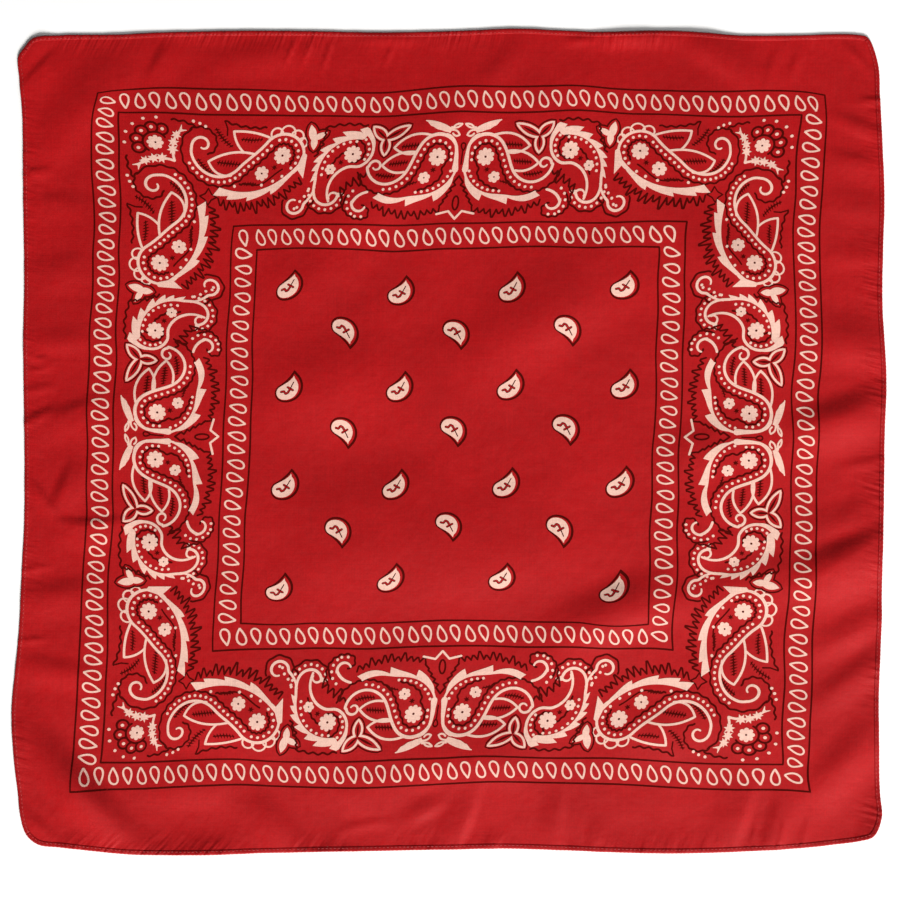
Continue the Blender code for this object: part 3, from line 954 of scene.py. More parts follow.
def lone_hook(ink):
    """The small hook that stands by itself, with dots round its back."""
    line = chain(Ring(-57, -79.4, 13.4, 11.4, 92, 58), Ring(-61.4, -74, 5.6, 3.6, 158, 172))
    around = chain(Ring(-60.4, -72, 13.6, 11.4, 150, 130), Ring(-60, -79.2, 4.6, 4.2, -60, 150))
    ink.waver(around, 0, 0.3, 4.6)
    ink.stroke("cream", line, 1.8, 2.1, 2, 1.4)
    ink.dots(chain(Ring(-60.4, -73.4, 10.2, 9.2, 128, 112), Ring(-61.4, -75, 7.4, 7, 236, 44)), 0.95, 4)


def sprig(ink):
    """Three leaves that grow together, in one pale outline with a dark line round it."""
    stem = -49.4-31.4j
    tips = (-58.2-23.2j, -34.4-23.2j, -49.6-42.4j)
    leaves = [petal(stem + 0.15 * (stem - tip), tip, width) for tip, width in zip(tips, (6.2, 5.6, 5.4))]
    ink.halo(leaves, 1.7, 0.75)
    for colour, reach in (("cream", 0.7), ("red", -0.7)):
        for leaf in leaves:
            ink.fill(colour, grown(leaf, reach))
    for tip in tips:
        ink.stroke("dark", cut([stem, tip], 0.06, 0.68), 0.8, 1.4, 0.5)


def inner_paisley(ink):
    """The paisley beside the side's middle: a small eye, a body with two leaves, and a broad flank."""
    eye = Ring(-53.8, -49.4, 2, 4.6, -150, 330, 1.8)
    belly = Ring(-47.2, -48.4, 12.2, 12.6, 188, 112)
    head = Ring(-15.2, -42.2, 13, 12.4, 150, -128)
    body = chain(eye, belly, head)
    flank = curve(-10.4-29.8j, 1 - 0.35j, -3.2-51.4j, 0.06 - 1j)
    keel = chain(Ring(-22.6, -45, 21, 22.4, -20, -44), Ring(-36, -49, 21, 23, -84, -44))
    loop = chain(
        Ring(-47.2, -48.4, 18.6, 19, 196, 96), Ring(-15.4, -42.6, 7.2, 7.4, 158, -206),
        Ring(-29, -41, 23, 24, -44, -38),
    )
    ink.waver(loop, 0, 0.3, 5)
    ink.saw(keel, 1, (0.4, 4.8, 5.3, 4.8, 5.4, 5.4, 4), (0.36, 0.67), 0.85, 1.6)
    ink.leaf(-43.6-37.4j, -29.4-41j, -19.6-30.2j, (0.10, 0.23))
    ink.leaf(-50-48.8j, -35.6-53j, -29.4-40.2j, (0.12, 0.17))
    ink.stroke("cream", body, 1.2, 1.7, 2, 2, 2, 2.1, 2.2, 2.4, 2)
    ink.stroke("cream", flank, 1.8, 1.9, 2.3, 3.2, 4.6)
    ink.stroke("cream", keel, 1.6, 1.8, 1.8, 1.8, 1.8, 1.2)
    ink.dots(beside(cut(body, 0.36, 0.70), -3.4), 0.95, 4)
    ink.dots(ring_points(Ring(-16.2, -43.2, 9.8, 9.8, 128, -140)), 0.95, 4)
    ink.dots(beside(cut(keel, 0.02, 0.56), -2.9), 0.95, 4)
    ink.flower(INNER_HEAD, 5.7, 9)
    ink.flower(-22.4-56.6j, 3.9, 6, 0.3)
    ink.star(-17.2-51.6j, 2.1)
    ink.barbs(bow(-34.4-62.2j, -26.6-59.6j, 0.3), 1.1)
    ink.barbs(bow(-53-54.6j, -41-55.6j, -0.8), 1.8)


def ribbon(ink):
    """The bow over the inner paisley: a solid leaf and two small loops."""
    ink.saw(bow(-24.6-20.4j, -7-26.6j, 1.2), -1, (0.6, 3.4, 4.4, 4, 3), (), 0, 0)
    ink.leaf(-1.1-23.8j, -7.6-27.2j, -7.8-25.6j, (0.2, 0.16), 1.3, vein=False)
    ink.leaf(-2.4-30.2j, -7.6-27.2j, -6.8-29.4j, (0.2,), 1.3, vein=False)


def half_side(ink):
    """Everything between a corner and a side's middle."""
    corner_paisley(ink)
    sprig(ink)
    upright_paisley(ink)
    tulip(ink)
    lone_hook(ink)
    inner_paisley(ink)
    ribbon(ink)
    ink.waver(bow(-186-20.6j, -171.4-24.6j, 1.2), 0, 0.4, 6)
    for place in (-172.6-20.8j, -168.6-22j, -165.2-23.8j):
        ink.dot("cream", place, 1)
    steps = [0-55.6j]
    for step in range(5):
        out = complex(-3 - 1.9 * step, -59.6 - 3.9 * step)
        steps += [out, out + complex(1.4 - 0.3 * step, -1.9 + 0.25 * step)]
    ink.path("dark", steps, 1.3)
    ink.teeth(bow(steps[-1], -54-72.6j, 3.8), 1, 5.2, 4.2, 0.15)


def side_middle(ink):
    """What stands on a side's middle line: the small bud, the ellipse and the bracket."""
    ink.drop(0.6-37.4j, 270, 4.6, 3, 0.9, 0)
    ink.shapes[:] = [("dark", outline) for _, outline in ink.shapes]
    ink.path("dark", [0.4-40j, 0.2-48j], 0.9)
    turns = (math.tau * side / 18 for side in range(19))
    oval = [complex(-0.2 + 1.9 * math.cos(turn), -73.4 + 4.6 * math.sin(turn)) for turn in turns]
    ink.stroke("dark", oval, 1.25)
    half = [-12-80.6j, -4.4-78.8j, 0-84j]
    ink.path("cream", [*half, *(complex(-point.real, point.imag) for point in half[-2::-1])], 1.6)


def corner_piece(ink):
    """The rosette in a corner, which lies at 0, 0 with the cloth to its right and below."""
    middle = ROSETTE
    for angle in (63, 99, 135, 171, 207):
        ring = middle + polar(9.9, angle)
        ink.dot("dark", ring, 4.2, 16)
        ink.dot("red", ring, 2.9, 16)
        ink.dot("cream", middle + polar(10.2, angle), 1.05)
    ink.dot("red", middle, 6.8, 24)
    ink.stroke("dark", ring_points(Ring(middle.real, middle.imag, 6.8, 6.8, 32, 206)), 1.3)
    for angle in (84, 110, 135, 160, 186):
        ink.dot("cream", middle + polar(16.6, angle), 1)
    ink.flower(middle, 4.8, 8)
    elbow = middle + (11.4-11.4j)
    upper = curve(elbow, -0.3 + 0.95j, middle + (16.4+9.2j), 0.8 + 0.6j)
    lower = [elbow - 1j * (point - elbow).conjugate() for point in upper]
    for line in (upper, lower):
        ink.stroke("cream", line, 1.8, 1.8, 1.6)
        for number, share in enumerate((0.34, 0.55, 0.77)):
            burr = cut(line, share, share + 0.01)[0]
            ink.spikes("cream", burr, 3.7 - 0.2 * number, 0.5, 7, 0.4 * number + 0.2)
        onward = heading(line[-3], line[-1])
        for side in (1, -1):
            fork = line[-1] + onward * 2.2 + side * 1j * onward * 2.2
            ink.stroke("cream", [line[-1] - onward, fork], 1.8, 0.4)
    star = 69-69j
    diamond = [star + polar(5.4 if side % 2 == 0 else 2.8, 45 * side) for side in range(9)]
    ink.path("dark", diamond, 1)


def small_paisley(ink):
    """The paisley of the middle field, its tip up and to the right and its left side hollow."""
    for colour, middle, reach, foot, tip in (
        ("dark", -0.3+2.8j, 11.1, 6.1, 5.1+13.2j),
        ("red", -0.5+2.7j, 9.8, 4.9, 5.1+11j),
        ("cream", -0.9+2.1j, 8.6, 4.7, 4.9+9.6j),
    ):
        low = middle + polar(reach - foot, -100)
        outline = ring_points(Ring(low.real, low.imag, foot, foot, 125, 132))
        outline += ring_points(Ring(middle.real, middle.imag, reach, reach, -98, 140))
        outline += curve(outline[-1], polar(1, 134), tip, polar(1, 146))[1:]
        outline += curve(tip, polar(1, -119), outline[0], polar(1, -146), 0.34)[1:-1]
        ink.fill(colour, outline)
    squiggle = [-3.3-1.2j, -1.6-0.7j, -0.4-2.4j, 1-1.7j, 2.6+1j]
    for colour, width in (("dark", 1.7), ("red", 0.9)):
        ink.path(colour, squiggle, width)
        ink.path(colour, [0.9+2j, 4.2+0j], width)
    ink.path("dark", [2.6+1.2j, 4.7+5.4j], 0.75)


# Where a drawing goes: it is flipped upside down if flip is set, turned, moved, and then turned with its
# quarter.
Spot = namedtuple("Spot", "flip turn shift quarter")


def moved(points, spot):
    """Points of a drawing at one of its spots."""
    turn = polar(1.0, spot.turn)
    quarter = polar(1.0, spot.quarter)
    return ((points.conjugate() if spot.flip else points) * turn + spot.shift) * quarter


def side_spots():
    """Half a side goes eight times round the print."""
    return [Spot(flip, 180 * flip, 1j * HALF, 90 * quarter) for quarter in range(4) for flip in (False, True)]


def quarter_spots(shift):
    """A drawing that goes once in each quarter."""
    return [Spot(False, 0, shift, 90 * quarter) for quarter in range(4)]


def band_spot(half, count, number):
    """Where a teardrop lies in the print, on the top side of its band."""
    across = half - 0.5 * BAND
    share = (number + START_GAP) / (count + 1 + START_GAP) if number else 0.0
    return complex(across * (2.0 * share - 1.0), across)


def drop_spots():
    """Both bands of teardrops, whose tips point outwards and inwards by turns."""
    spots = []
    for half, sides in ((HALF, DROPS), (INNER_HALF, INNER_DROPS)):
        for side, drops in enumerate(sides):
            place = band_spot(half, drops.count, 0)
            spots.append(Spot(drops.corner_flip, drops.corner_turn, place, 90 * side))
            flip = side % 2 == 1
            for number in range(1, drops.count + 1):
                inwards = drops.first * (-1) ** number > 0
                place = band_spot(half, drops.count, number)
                spots.append(Spot(flip, 180 * (inwards != flip), place, 90 * side))
    return spots


def field_spots():
    """The seven rows of small paisleys; every other row is upside down and sits between the others."""
    spots = []
    for row in range(7):
        flip = row % 2 == 1
        for column in range(3 if flip else 4):
            across = FIELD_X * (column - (1.0 if flip else 1.5))
            spots.append(Spot(flip, 0, complex(across, FIELD_Y * (1.5 - 0.5 * row) + FIELD_SHIFT * flip), 0))
    return spots


def teardrop(ink):
    """One outlined teardrop of a band, its tip upwards."""
    ink.drop(0j, 90.0)


def frame_lines(ink):
    """The four square frames of dark line."""
    for reach in (HALF, HALF - BAND, INNER_HALF, INNER_HALF - BAND):
        count = int(2 * reach / 3.0)
        line = [complex(-reach + 2 * reach * index / count, reach) for index in range(count + 1)]
        for quarter in range(4):
            ink.stroke("dark", [point * 1j ** quarter for point in line], LINE)


def print_parts():
    """Each drawing of the print and the spots where it goes."""
    return (
        (half_side, side_spots()),
        (side_middle, quarter_spots(1j * HALF)),
        (corner_piece, quarter_spots(complex(-HALF, HALF))),
        (teardrop, drop_spots()),
        (small_paisley, field_spots()),
        (frame_lines, [Spot(False, 0, 0j, 0)]),
    )


# ---------------------------------------------------------------------------------- the inked cells

def hull(points):
    """The convex outline of a few points, counter-clockwise."""
    ordered = sorted(points, key=lambda point: (point.real, point.imag))
    sides = []
    for run in (ordered, ordered[::-1]):
        side = []
        for point in run:
            while len(side) > 1 and ((side[-1] - side[-2]).conjugate() * (point - side[-1])).imag <= TINY:
                side.pop()
            side.append(point)
        sides += side[:-1]
    return sides


class Paint:
    """The shapes of a drawing as flat cards, each a little above the last, to ask which ink is seen."""

    def __init__(self, shapes):
        self.inks = []
        self.corners = []
        self.edges = []
        cards = []
        for ink, outline in shapes:
            if len(outline) == 4:
                outline = hull(outline)
            first = len(self.corners)
            level = CARD_GAP * len(self.inks)
            ring = [Vector((point.real, point.imag, level)) for point in outline]
            for card in tessellate_polygon([ring]):
                cards.append([first + corner for corner in card])
                self.inks.append(ink)
            self.corners += ring
            self.edges += [(first + index - 1, first + index) for index in range(1, len(ring))]
            self.edges.append((first + len(ring) - 1, first))
        self.cards = BVHTree.FromPolygons(self.corners, cards)

    def seen(self, place):
        """The ink seen at a place: cream, dark or none."""
        card = self.cards.ray_cast(Vector((*place, CARDS_TOP)), Vector((0.0, 0.0, -1.0)))[2]
        return "" if card is None or self.inks[card] == "red" else self.inks[card]

    def cells(self):
        """The places and cells that all the edges of the shapes cut the drawing into, and each cell's ink."""
        flat = [corner.to_2d() for corner in self.corners]
        points, _, cells, _, _, _ = delaunay_2d_cdt(flat, self.edges, [], 0, SHAPE_GAP, False)
        return points, cells, [self.seen(middle_of(cell, points)) for cell in cells]


def middle_of(cell, points):
    """The middle of a cell's corners."""
    return sum((points[corner] for corner in cell), Vector((0.0, 0.0))) / len(cell)


def ink_edges(cells, inks):
    """The edges between two inks."""
    beside_edge = {}
    for cell, ink in zip(cells, inks):
        for corner in range(3):
            ends = cell[corner - 1], cell[corner]
            beside_edge.setdefault((min(ends), max(ends)), []).append(ink)
    return [ends for ends, sides in beside_edge.items() if sides[0] != (sides[1] if len(sides) > 1 else "")]


def chains(edges):
    """The edges joined into chains, between places where more than two meet, or round to their start."""
    around = {}
    for start, end in edges:
        around.setdefault(start, []).append(end)
        around.setdefault(end, []).append(start)
    left = {frozenset(edge) for edge in edges}
    found = []
    for start in [place for place in around if len(around[place]) != 2] + list(around):
        for onward in around[start]:
            chain = [start, onward]
            while frozenset(chain[-2:]) in left:
                left.discard(frozenset(chain[-2:]))
                if len(around[chain[-1]]) != 2 or chain[-1] == start:
                    found.append(chain)
                    break
                chain.append(next(place for place in around[chain[-1]] if place != chain[-2]))
    return found


def simpler(chain, points):
    """A chain of point numbers without those that bend it less than the smoothing."""
    kept = {0, len(chain) - 1}
    spans = [(0, len(chain) - 1)]
    if chain[0] == chain[-1]:
        kept.add(len(chain) // 2)
        spans = [(0, len(chain) // 2), (len(chain) // 2, len(chain) - 1)]
    while spans:
        start, end = spans.pop()
        span = points[chain[end]] - points[chain[start]]
        worst, place = SMOOTHING, None
        if end - start > 1 and span.length > CELL:
            place = (start + end) // 2
        for index in range(start + 1, end):
            away = points[chain[index]] - points[chain[start]]
            far = abs(span.cross(away)) / span.length if span.length > 1e-6 else away.length
            if far > worst:
                worst, place = far, index
        if place is not None:
            kept.add(place)
            spans += [(start, place), (place, end)]
    return [chain[index] for index in sorted(kept)]


def drawn_cells(shapes):
    """A drawing as triangles: its points, and for each ink the corners of its triangles."""
    paint = Paint(shapes)
    points, cells, inks = paint.cells()
    edges = []
    for chain in chains(ink_edges(cells, inks)):
        kept = simpler(chain, points)
        edges += list(zip(kept, kept[1:]))
    used = {place: number for number, place in enumerate(sorted({place for edge in edges for place in edge}))}
    corners = [points[place] for place in used]
    near = KDTree(len(corners))
    for number, corner in enumerate(corners):
        near.insert(corner.to_3d(), number)
    near.balance()
    low = Vector([min(corner[axis] for corner in corners) for axis in (0, 1)])
    high = Vector([max(corner[axis] for corner in corners) for axis in (0, 1)])
    for row in range(int((high.y - low.y) / CELL) + 1):
        for column in range(int((high.x - low.x) / CELL) + 1):
            place = low + Vector((CELL * (column + 0.5 * (row % 2)), CELL * row))
            if near.find(place.to_3d())[2] > 0.5 * CELL and paint.seen(place):
                corners.append(place)
    links = [(used[start], used[end]) for start, end in edges]
    final, _, flat, _, _, _ = delaunay_2d_cdt(corners, links, [], 0, POINT_GAP, False)
    inked = {"cream": [], "dark": [], "": []}
    for cell in flat:
        inked[paint.seen(middle_of(cell, final))].append(tuple(cell))
    return np.array(final), {ink: np.array(inked[ink], dtype=int).reshape(-1, 3) for ink in ("cream", "dark")}


# ---------------------------------------------------------------------------------------- materials

class Nodes:
    """A short way to lay out a material's nodes."""

    def __init__(self, name):
        self.material = bpy.data.materials.new(name)
        self.material.use_nodes = True
        self.tree = self.material.node_tree
        self.shader = self.tree.nodes["Principled BSDF"]

    def add(self, kind, inputs=None, **settings):
        """A new node with its settings, and its inputs as values or as sockets to link from."""
        node = self.tree.nodes.new(kind)
        for name, value in settings.items():
            setattr(node, name, value)
        for key, value in (inputs or {}).items():
            self.put(node.inputs[key], value)
        return node

    def put(self, socket, value):
        """Link a socket from another one, or give it a value."""
        if isinstance(value, bpy.types.NodeSocket):
            self.tree.links.new(value, socket)
        else:
            socket.default_value = value

    def math(self, operation, *values, clamp=False):
        """The result of a Math node."""
        node = self.add("ShaderNodeMath", operation=operation, use_clamp=clamp)
        for socket, value in zip(node.inputs, values):
            self.put(socket, value)
        return node.outputs[0]

    def place(self, scale=(1.0, 1.0, 1.0), turn=0.0):
        """Object coordinates, scaled and turned about Z."""
        where = self.add("ShaderNodeTexCoord").outputs["Object"]
        inputs = {"Vector": where, "Scale": scale, "Rotation": (0.0, 0.0, turn)}
        return self.add("ShaderNodeMapping", inputs).outputs["Vector"]

    def noise(self, scale, detail=2.0, stretch=(1.0, 1.0, 1.0), turn=0.0, roughness=0.5):
        """A noise over the object, from 0 to 1; scale counts its cells in a metre."""
        node = self.add("ShaderNodeTexNoise", {
            "Vector": self.place(stretch, turn), "Scale": scale, "Detail": detail, "Roughness": roughness,
        })
        return node.outputs[0]

    def ramp(self, value, low, high, to_low=0.0, to_high=1.0):
        """A value carried from one range to another, and held at its ends."""
        node = self.add("ShaderNodeMapRange", {
            "Value": value, "From Min": low, "From Max": high, "To Min": to_low, "To Max": to_high,
        })
        return node.outputs[0]

    def mix(self, share, first, second, blend="MIX"):
        """Two colours mixed."""
        node = self.add("ShaderNodeMix", data_type="RGBA", blend_type=blend)
        self.put(node.inputs["Factor"], share)
        self.put(node.inputs[6], first)
        self.put(node.inputs[7], second)
        return node.outputs[2]

    def scaled(self, colour, level):
        """A colour made lighter or darker by a level."""
        node = self.add("ShaderNodeVectorMath", operation="SCALE")
        self.put(node.inputs[0], colour)
        self.put(node.inputs["Scale"], level)
        return node.outputs[0]

    def bump(self, height, distance, strength, normal=None):
        """The normal that a relief gives, over another normal or over the plain surface."""
        inputs = {"Strength": strength, "Distance": distance, "Height": height}
        if normal is not None:
            inputs["Normal"] = normal
        return self.add("ShaderNodeBump", inputs).outputs[0]

    def finish(self, **values):
        """Put values on the shader's own sockets by their names, with _ for a space."""
        for name, value in values.items():
            self.put(self.shader.inputs[name.replace("_", " ")], value)
        return self.material


def weave(nodes):
    """The relief of a plain weave, from 0 to 1: over and under by turns both ways."""
    place = nodes.place()
    split = nodes.add("ShaderNodeSeparateXYZ", {"Vector": place})
    warp = nodes.math("MULTIPLY", split.outputs["X"], math.pi * THREADS)
    weft = nodes.math("MULTIPLY", split.outputs["Y"], math.pi * THREADS)
    over = nodes.math("MULTIPLY", nodes.math("SINE", warp), nodes.math("SINE", weft))
    across = nodes.math("ABSOLUTE", nodes.math("SINE", warp))
    along = nodes.math("ABSOLUTE", nodes.math("SINE", weft))
    ridges = nodes.math("MULTIPLY", across, along)
    return nodes.math("ADD", nodes.math("MULTIPLY", ridges, 0.6), nodes.math("MULTIPLY", over, 0.2))


def slubs(nodes):
    """Thick and thin threads both ways, around 0.5."""
    warp = nodes.noise(1.0, 2.0, stretch=(1500.0, 28.0, 1.0))
    weft = nodes.noise(1.0, 2.0, stretch=(28.0, 1500.0, 1.0))
    return nodes.math("MULTIPLY", nodes.math("ADD", warp, weft), 0.5)


def streaks(nodes, along, out, lean):
    """Uneven streaks that run across a hem and lean a little.

    Along and out are a place's distances along the hem and out towards it.
    """
    place = nodes.add("ShaderNodeCombineXYZ", {
        "X": nodes.math("MULTIPLY", nodes.math("ADD", nodes.math("MULTIPLY", out, lean), along), PUCKERS),
        "Y": nodes.math("MULTIPLY", out, PUCKER_FADE),
    })
    inputs = {"Vector": place.outputs[0], "Scale": 1.0, "Detail": 1.5}
    return nodes.add("ShaderNodeTexNoise", inputs).outputs[0]


def gathers(nodes):
    """The fine puckers beside each hem, which run at right angles to it and die out inwards."""
    split = nodes.add("ShaderNodeSeparateXYZ", {"Vector": nodes.place()})
    x, y = split.outputs["X"], split.outputs["Y"]
    from_side = nodes.ramp(nodes.math("ABSOLUTE", x), *PUCKER_X)
    from_end = nodes.ramp(nodes.math("ABSOLUTE", y), *PUCKER_Y)
    side = nodes.math("MULTIPLY", nodes.math("POWER", from_side, 1.6), streaks(nodes, y, x, 0.25))
    lean = nodes.math("ADD", nodes.math("MULTIPLY", x, 1.3), -0.35)
    end = nodes.math("MULTIPLY", nodes.math("POWER", from_end, 1.6), streaks(nodes, x, y, lean))
    here = nodes.ramp(nodes.noise(24.0, 1.0), 0.42, 0.62, 0.12, 1.0)
    return nodes.math("MULTIPLY", nodes.math("ADD", side, end), here)


def cloth_relief(nodes):
    """The normal that the weave, the slubs, the small rumples and the puckers give together."""
    pucker = nodes.bump(gathers(nodes), PUCKER_DEPTH, 1.0)
    soft = nodes.bump(nodes.noise(60.0, 3.0, roughness=0.55), RUMPLE_DEPTH, 1.0, pucker)
    thread = nodes.bump(slubs(nodes), THREAD_DEPTH, 0.5, soft)
    return nodes.bump(weave(nodes), THREAD_DEPTH, 0.55, thread)


def cloth_tone(nodes, colour, depth):
    """A dye colour, uneven from thread to thread and from the handling, with painted shade in the weave's
    hollows and lighter crowns.
    """
    patch = nodes.ramp(nodes.noise(16.0, 3.0), 0.3, 0.7, 1.0 - depth, 1.0 + depth)
    slub = nodes.ramp(slubs(nodes), 0.32, 0.68, 1.0 - 1.3 * depth, 1.0 + 1.3 * depth)
    # The weave's hollows darker and its crowns lighter: painted shade and highlight of the weave.
    thread = nodes.ramp(weave(nodes), 0.0, 0.7, 1.0 - 2.0 * depth, 1.0 + 1.2 * depth)
    grain = nodes.ramp(nodes.noise(1000.0, 1.0), 0.3, 0.7, 1.0 - 1.1 * depth, 1.0 + 1.1 * depth)
    level = nodes.math("MULTIPLY", nodes.math("MULTIPLY", patch, slub), nodes.math("MULTIPLY", thread, grain))
    return nodes.scaled(colour, level)


def cloth_material(name, colour, depth=0.07):
    """Woven cotton: matt, a little uneven from thread to thread, with painted shade in the weave's hollows.
    """
    nodes = Nodes(name)
    rough = nodes.ramp(nodes.noise(220.0, 2.0), 0.3, 0.7, 0.47, 0.59)
    return nodes.finish(
        Base_Color=cloth_tone(nodes, colour, depth), Roughness=rough, Specular_IOR_Level=0.16,
        Normal=cloth_relief(nodes),
    )


def ink_material(name, colour, ground, back, gloss):
    """Ink in the weave: it wears thin on the threads' edges, and shows weakly on the back."""
    nodes = Nodes(name)
    # The ink's tone carries the same painted shade in the weave's hollows.
    tone = cloth_tone(nodes, colour, 0.05)
    facing = nodes.add("ShaderNodeSeparateXYZ", {
        "Vector": nodes.add("ShaderNodeTexCoord").outputs["Normal"],
    }).outputs["Z"]
    worn = nodes.ramp(nodes.math("ADD", slubs(nodes), weave(nodes)), 0.35, 0.62, 0.16, 0.0)
    bare = nodes.ramp(facing, -0.2, 0.2, 1.0 - back, 0.0)
    share = nodes.math("MAXIMUM", worn, bare)
    return nodes.finish(
        Base_Color=nodes.mix(share, tone, (*ground, 1.0)), Roughness=0.7, Specular_IOR_Level=gloss,
        Normal=cloth_relief(nodes),
    )


def thread_material(name, colour):
    """Twisted cotton thread, with painted shade in the grooves of its twist and lighter crowns."""
    nodes = Nodes(name)
    twist = nodes.add("ShaderNodeTexWave", {
        "Vector": nodes.place((1.0, 1.0, 1.0), math.radians(35.0)), "Scale": 1500.0, "Distortion": 1.0,
    }, wave_type="BANDS")
    # The twist's grooves darker and its crowns lighter: painted shade.
    level = nodes.ramp(twist.outputs["Fac"], 0.0, 1.0, 0.85, 1.1)
    return nodes.finish(
        Base_Color=nodes.scaled(colour, level), Roughness=0.5, Sheen_Weight=0.2, Sheen_Roughness=0.4,
        Normal=nodes.bump(twist.outputs["Fac"], 0.0001, 0.4),
    )


def floor_material(colour):
    """A pale matt sheet with the faintest unevenness."""
    nodes = Nodes("pale_floor")
    shade = nodes.ramp(nodes.noise(6.0, 2.0), 0.3, 0.7, 0.99, 1.01)
    return nodes.finish(Base_Color=nodes.scaled(colour, shade), Roughness=0.85, Specular_IOR_Level=0.2)


# ------------------------------------------------------------------------------------------- pieces

def add_object(name, bm, material):
    """Put a mesh into the scene."""
    mesh = bpy.data.meshes.new(name)
    bm.to_mesh(mesh)
    bm.free()
    mesh.materials.append(material)
    item = bpy.data.objects.new(name, mesh)
    bpy.context.scene.collection.objects.link(item)
    return item


def add_piece(name, bm, material):
    """Put a mesh into the scene as a smooth piece that rides with the part."""
    item = add_object(name, bm, material)
    item.data.shade_smooth()
    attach(item, "root")
    return item


def add_sheet(name, bm, rise, material):
    """A piece from one side of a sheet; the other side lies rise away, and the folds shade both."""
    other = bmesh.ops.extrude_face_region(bm, geom=bm.faces[:])["geom"]
    for vert in (item for item in other if isinstance(item, bmesh.types.BMVert)):
        vert.co.z += rise
    bmesh.ops.recalc_face_normals(bm, faces=bm.faces[:])
    sheet = add_piece(name, bm, material)
    follow_folds(sheet.data)
    return sheet


def panel_points(cloth):
    """The panel's grid of points in millimetres: a smooth patch between its four edges."""
    loop, tips = outline()
    inner = inset(loop, HEM_SPAN - TUCK)
    edges = []
    for edge, count in enumerate((cloth.columns, cloth.rows, cloth.columns, cloth.rows)):
        places = even_places(run_of_edge(loop, tips, edge), count)
        edges.append(at_places(run_of_edge(inner, tips, edge), places))
    top, left, bottom, right = edges[0][::-1], edges[1][::-1], edges[2], edges[3]
    across = np.linspace(0.0, 1.0, cloth.columns + 1)[None, :, None]
    up = np.linspace(0.0, 1.0, cloth.rows + 1)[:, None, None]
    ruled = bottom[None] * (1 - up) + top[None] * up
    sided = left[:, None] * (1 - across) + right[:, None] * across
    low = bottom[0] * (1 - across) + bottom[-1] * across
    high = top[0] * (1 - across) + top[-1] * across
    return ruled + sided - low * (1 - up) - high * up


def build_panel(cloth):
    """The cloth: a thin shell that follows every fold and crease."""
    points = panel_points(cloth)
    faces = face_height(points[..., 0], points[..., 1], cloth)
    thickness = cloth.thickness / MM
    bm = bmesh.new()
    bmesh.ops.create_grid(bm, x_segments=cloth.columns, y_segments=cloth.rows, size=0.5)
    for vert in bm.verts:
        column = round((vert.co.x + 0.5) * cloth.columns)
        row = round((vert.co.y + 0.5) * cloth.rows)
        vert.co = Vector((*points[row, column], faces[row, column] - thickness)) * MM
    return add_sheet("cloth_panel", bm, cloth.thickness, cloth_material("dyed_cotton", tuple(cloth.red)))


def drop_number(index, count):
    """The number of a teardrop that steers the lay: 0 in the corner; a half is the middle between two."""
    return min(2.5 + 6 * (index - 1), count - 0.5) if index else 0


def lay_points():
    """Places in the print and where the lay puts them on the cloth."""
    flat, laid = [], []
    for band, counts in zip(LAY, (DROPS, INNER_DROPS)):
        for side, (degrees, row) in enumerate(zip(SIDE_TURNS, band.sides)):
            swing = polar(1.0, degrees)
            count = counts[-side % 4].count
            drops = [
                (band_spot(band.half, count, drop_number(index, count)), complex(*place))
                for index, place in enumerate(row.drops)
            ]
            flat += [drop * swing for drop, _ in drops]
            laid += [place for _, place in drops]
            for half, corners, bows in (
                (band.half, band.outer, row.outer_bows), (band.half - BAND, band.inner, row.inner_bows),
            ):
                start, end = (complex(*corners[number % 4]) for number in (side, side + 1))
                onward = heading(start, end)
                known = [(0.0, -half)]
                for drop, place in drops:
                    if abs(drop.real) < half - CORNER_REACH:
                        known.append((((place - start) / onward).real, drop.real))
                known.append((abs(end - start), half))
                for index, bow_out in enumerate((0.0, *bows)):
                    reach = abs(end - start) * index / (len(bows) + 1)
                    flat.append(complex(np.interp(reach, *zip(*known)), half) * swing)
                    laid.append(start + onward * complex(reach, bow_out))
    field = [complex(across, up) for across, up in ((-1.5, 1.5), (1.5, 1.5), (1.5, -1.5), (-1.5, -1.5))]
    flat += [complex(FIELD_X * place.real, FIELD_Y * place.imag) for place in field]
    for middle, spots in (
        (CORNER_HEAD, side_spots()), (UPRIGHT_HEAD, side_spots()), (INNER_HEAD, side_spots()),
        (ROSETTE, quarter_spots(complex(-HALF, HALF))),
    ):
        flat += [moved(middle, spot) for spot in spots]
    for places in (FIELD_CORNERS, CORNER_BLOSSOMS, UPRIGHT_BLOSSOMS, INNER_BLOSSOMS, ROSETTES):
        laid += [complex(*place) for place in places]
    return np.array(flat), np.array(laid)


def bending(distance):
    """The bending of a thin plate at a distance."""
    return distance * distance * np.log(distance + TINY)


def laid_on_cloth(points):
    """Carry places in the print, as an array of complex numbers, to the cloth as a thin plate bends."""
    flat, laid = lay_points()
    count = len(flat)
    level = np.column_stack((np.ones(count), flat.real, flat.imag))
    table = np.zeros((count + 3, count + 3))
    table[:count, :count] = bending(abs(flat[:, None] - flat[None])) + np.eye(count) * LAY_EASE
    table[:count, count:] = level
    table[count:, :count] = level.T
    weights = np.linalg.solve(table, np.concatenate((laid, np.zeros(3))))
    reach = bending(abs(points[:, None] - flat[None])) @ weights[:count]
    return reach + weights[count] + weights[count + 1] * points.real + weights[count + 2] * points.imag


def ink_sheets():
    """The whole print on the cloth: its places, and the triangles of each ink."""
    places, triangles = [], {"cream": [], "dark": []}
    first = 0
    for draw, spots in print_parts():
        ink = Print()
        draw(ink)
        points, cells = drawn_cells(ink.shapes)
        points = points[:, 0] + 1j * points[:, 1]
        for spot in spots:
            places.append(moved(points, spot))
            for name, corners in cells.items():
                triangles[name].append(first + (corners[:, ::-1] if spot.flip else corners))
            first += len(points)
    joined = {name: np.concatenate(part) for name, part in triangles.items()}
    return laid_on_cloth(np.concatenate(places)), joined


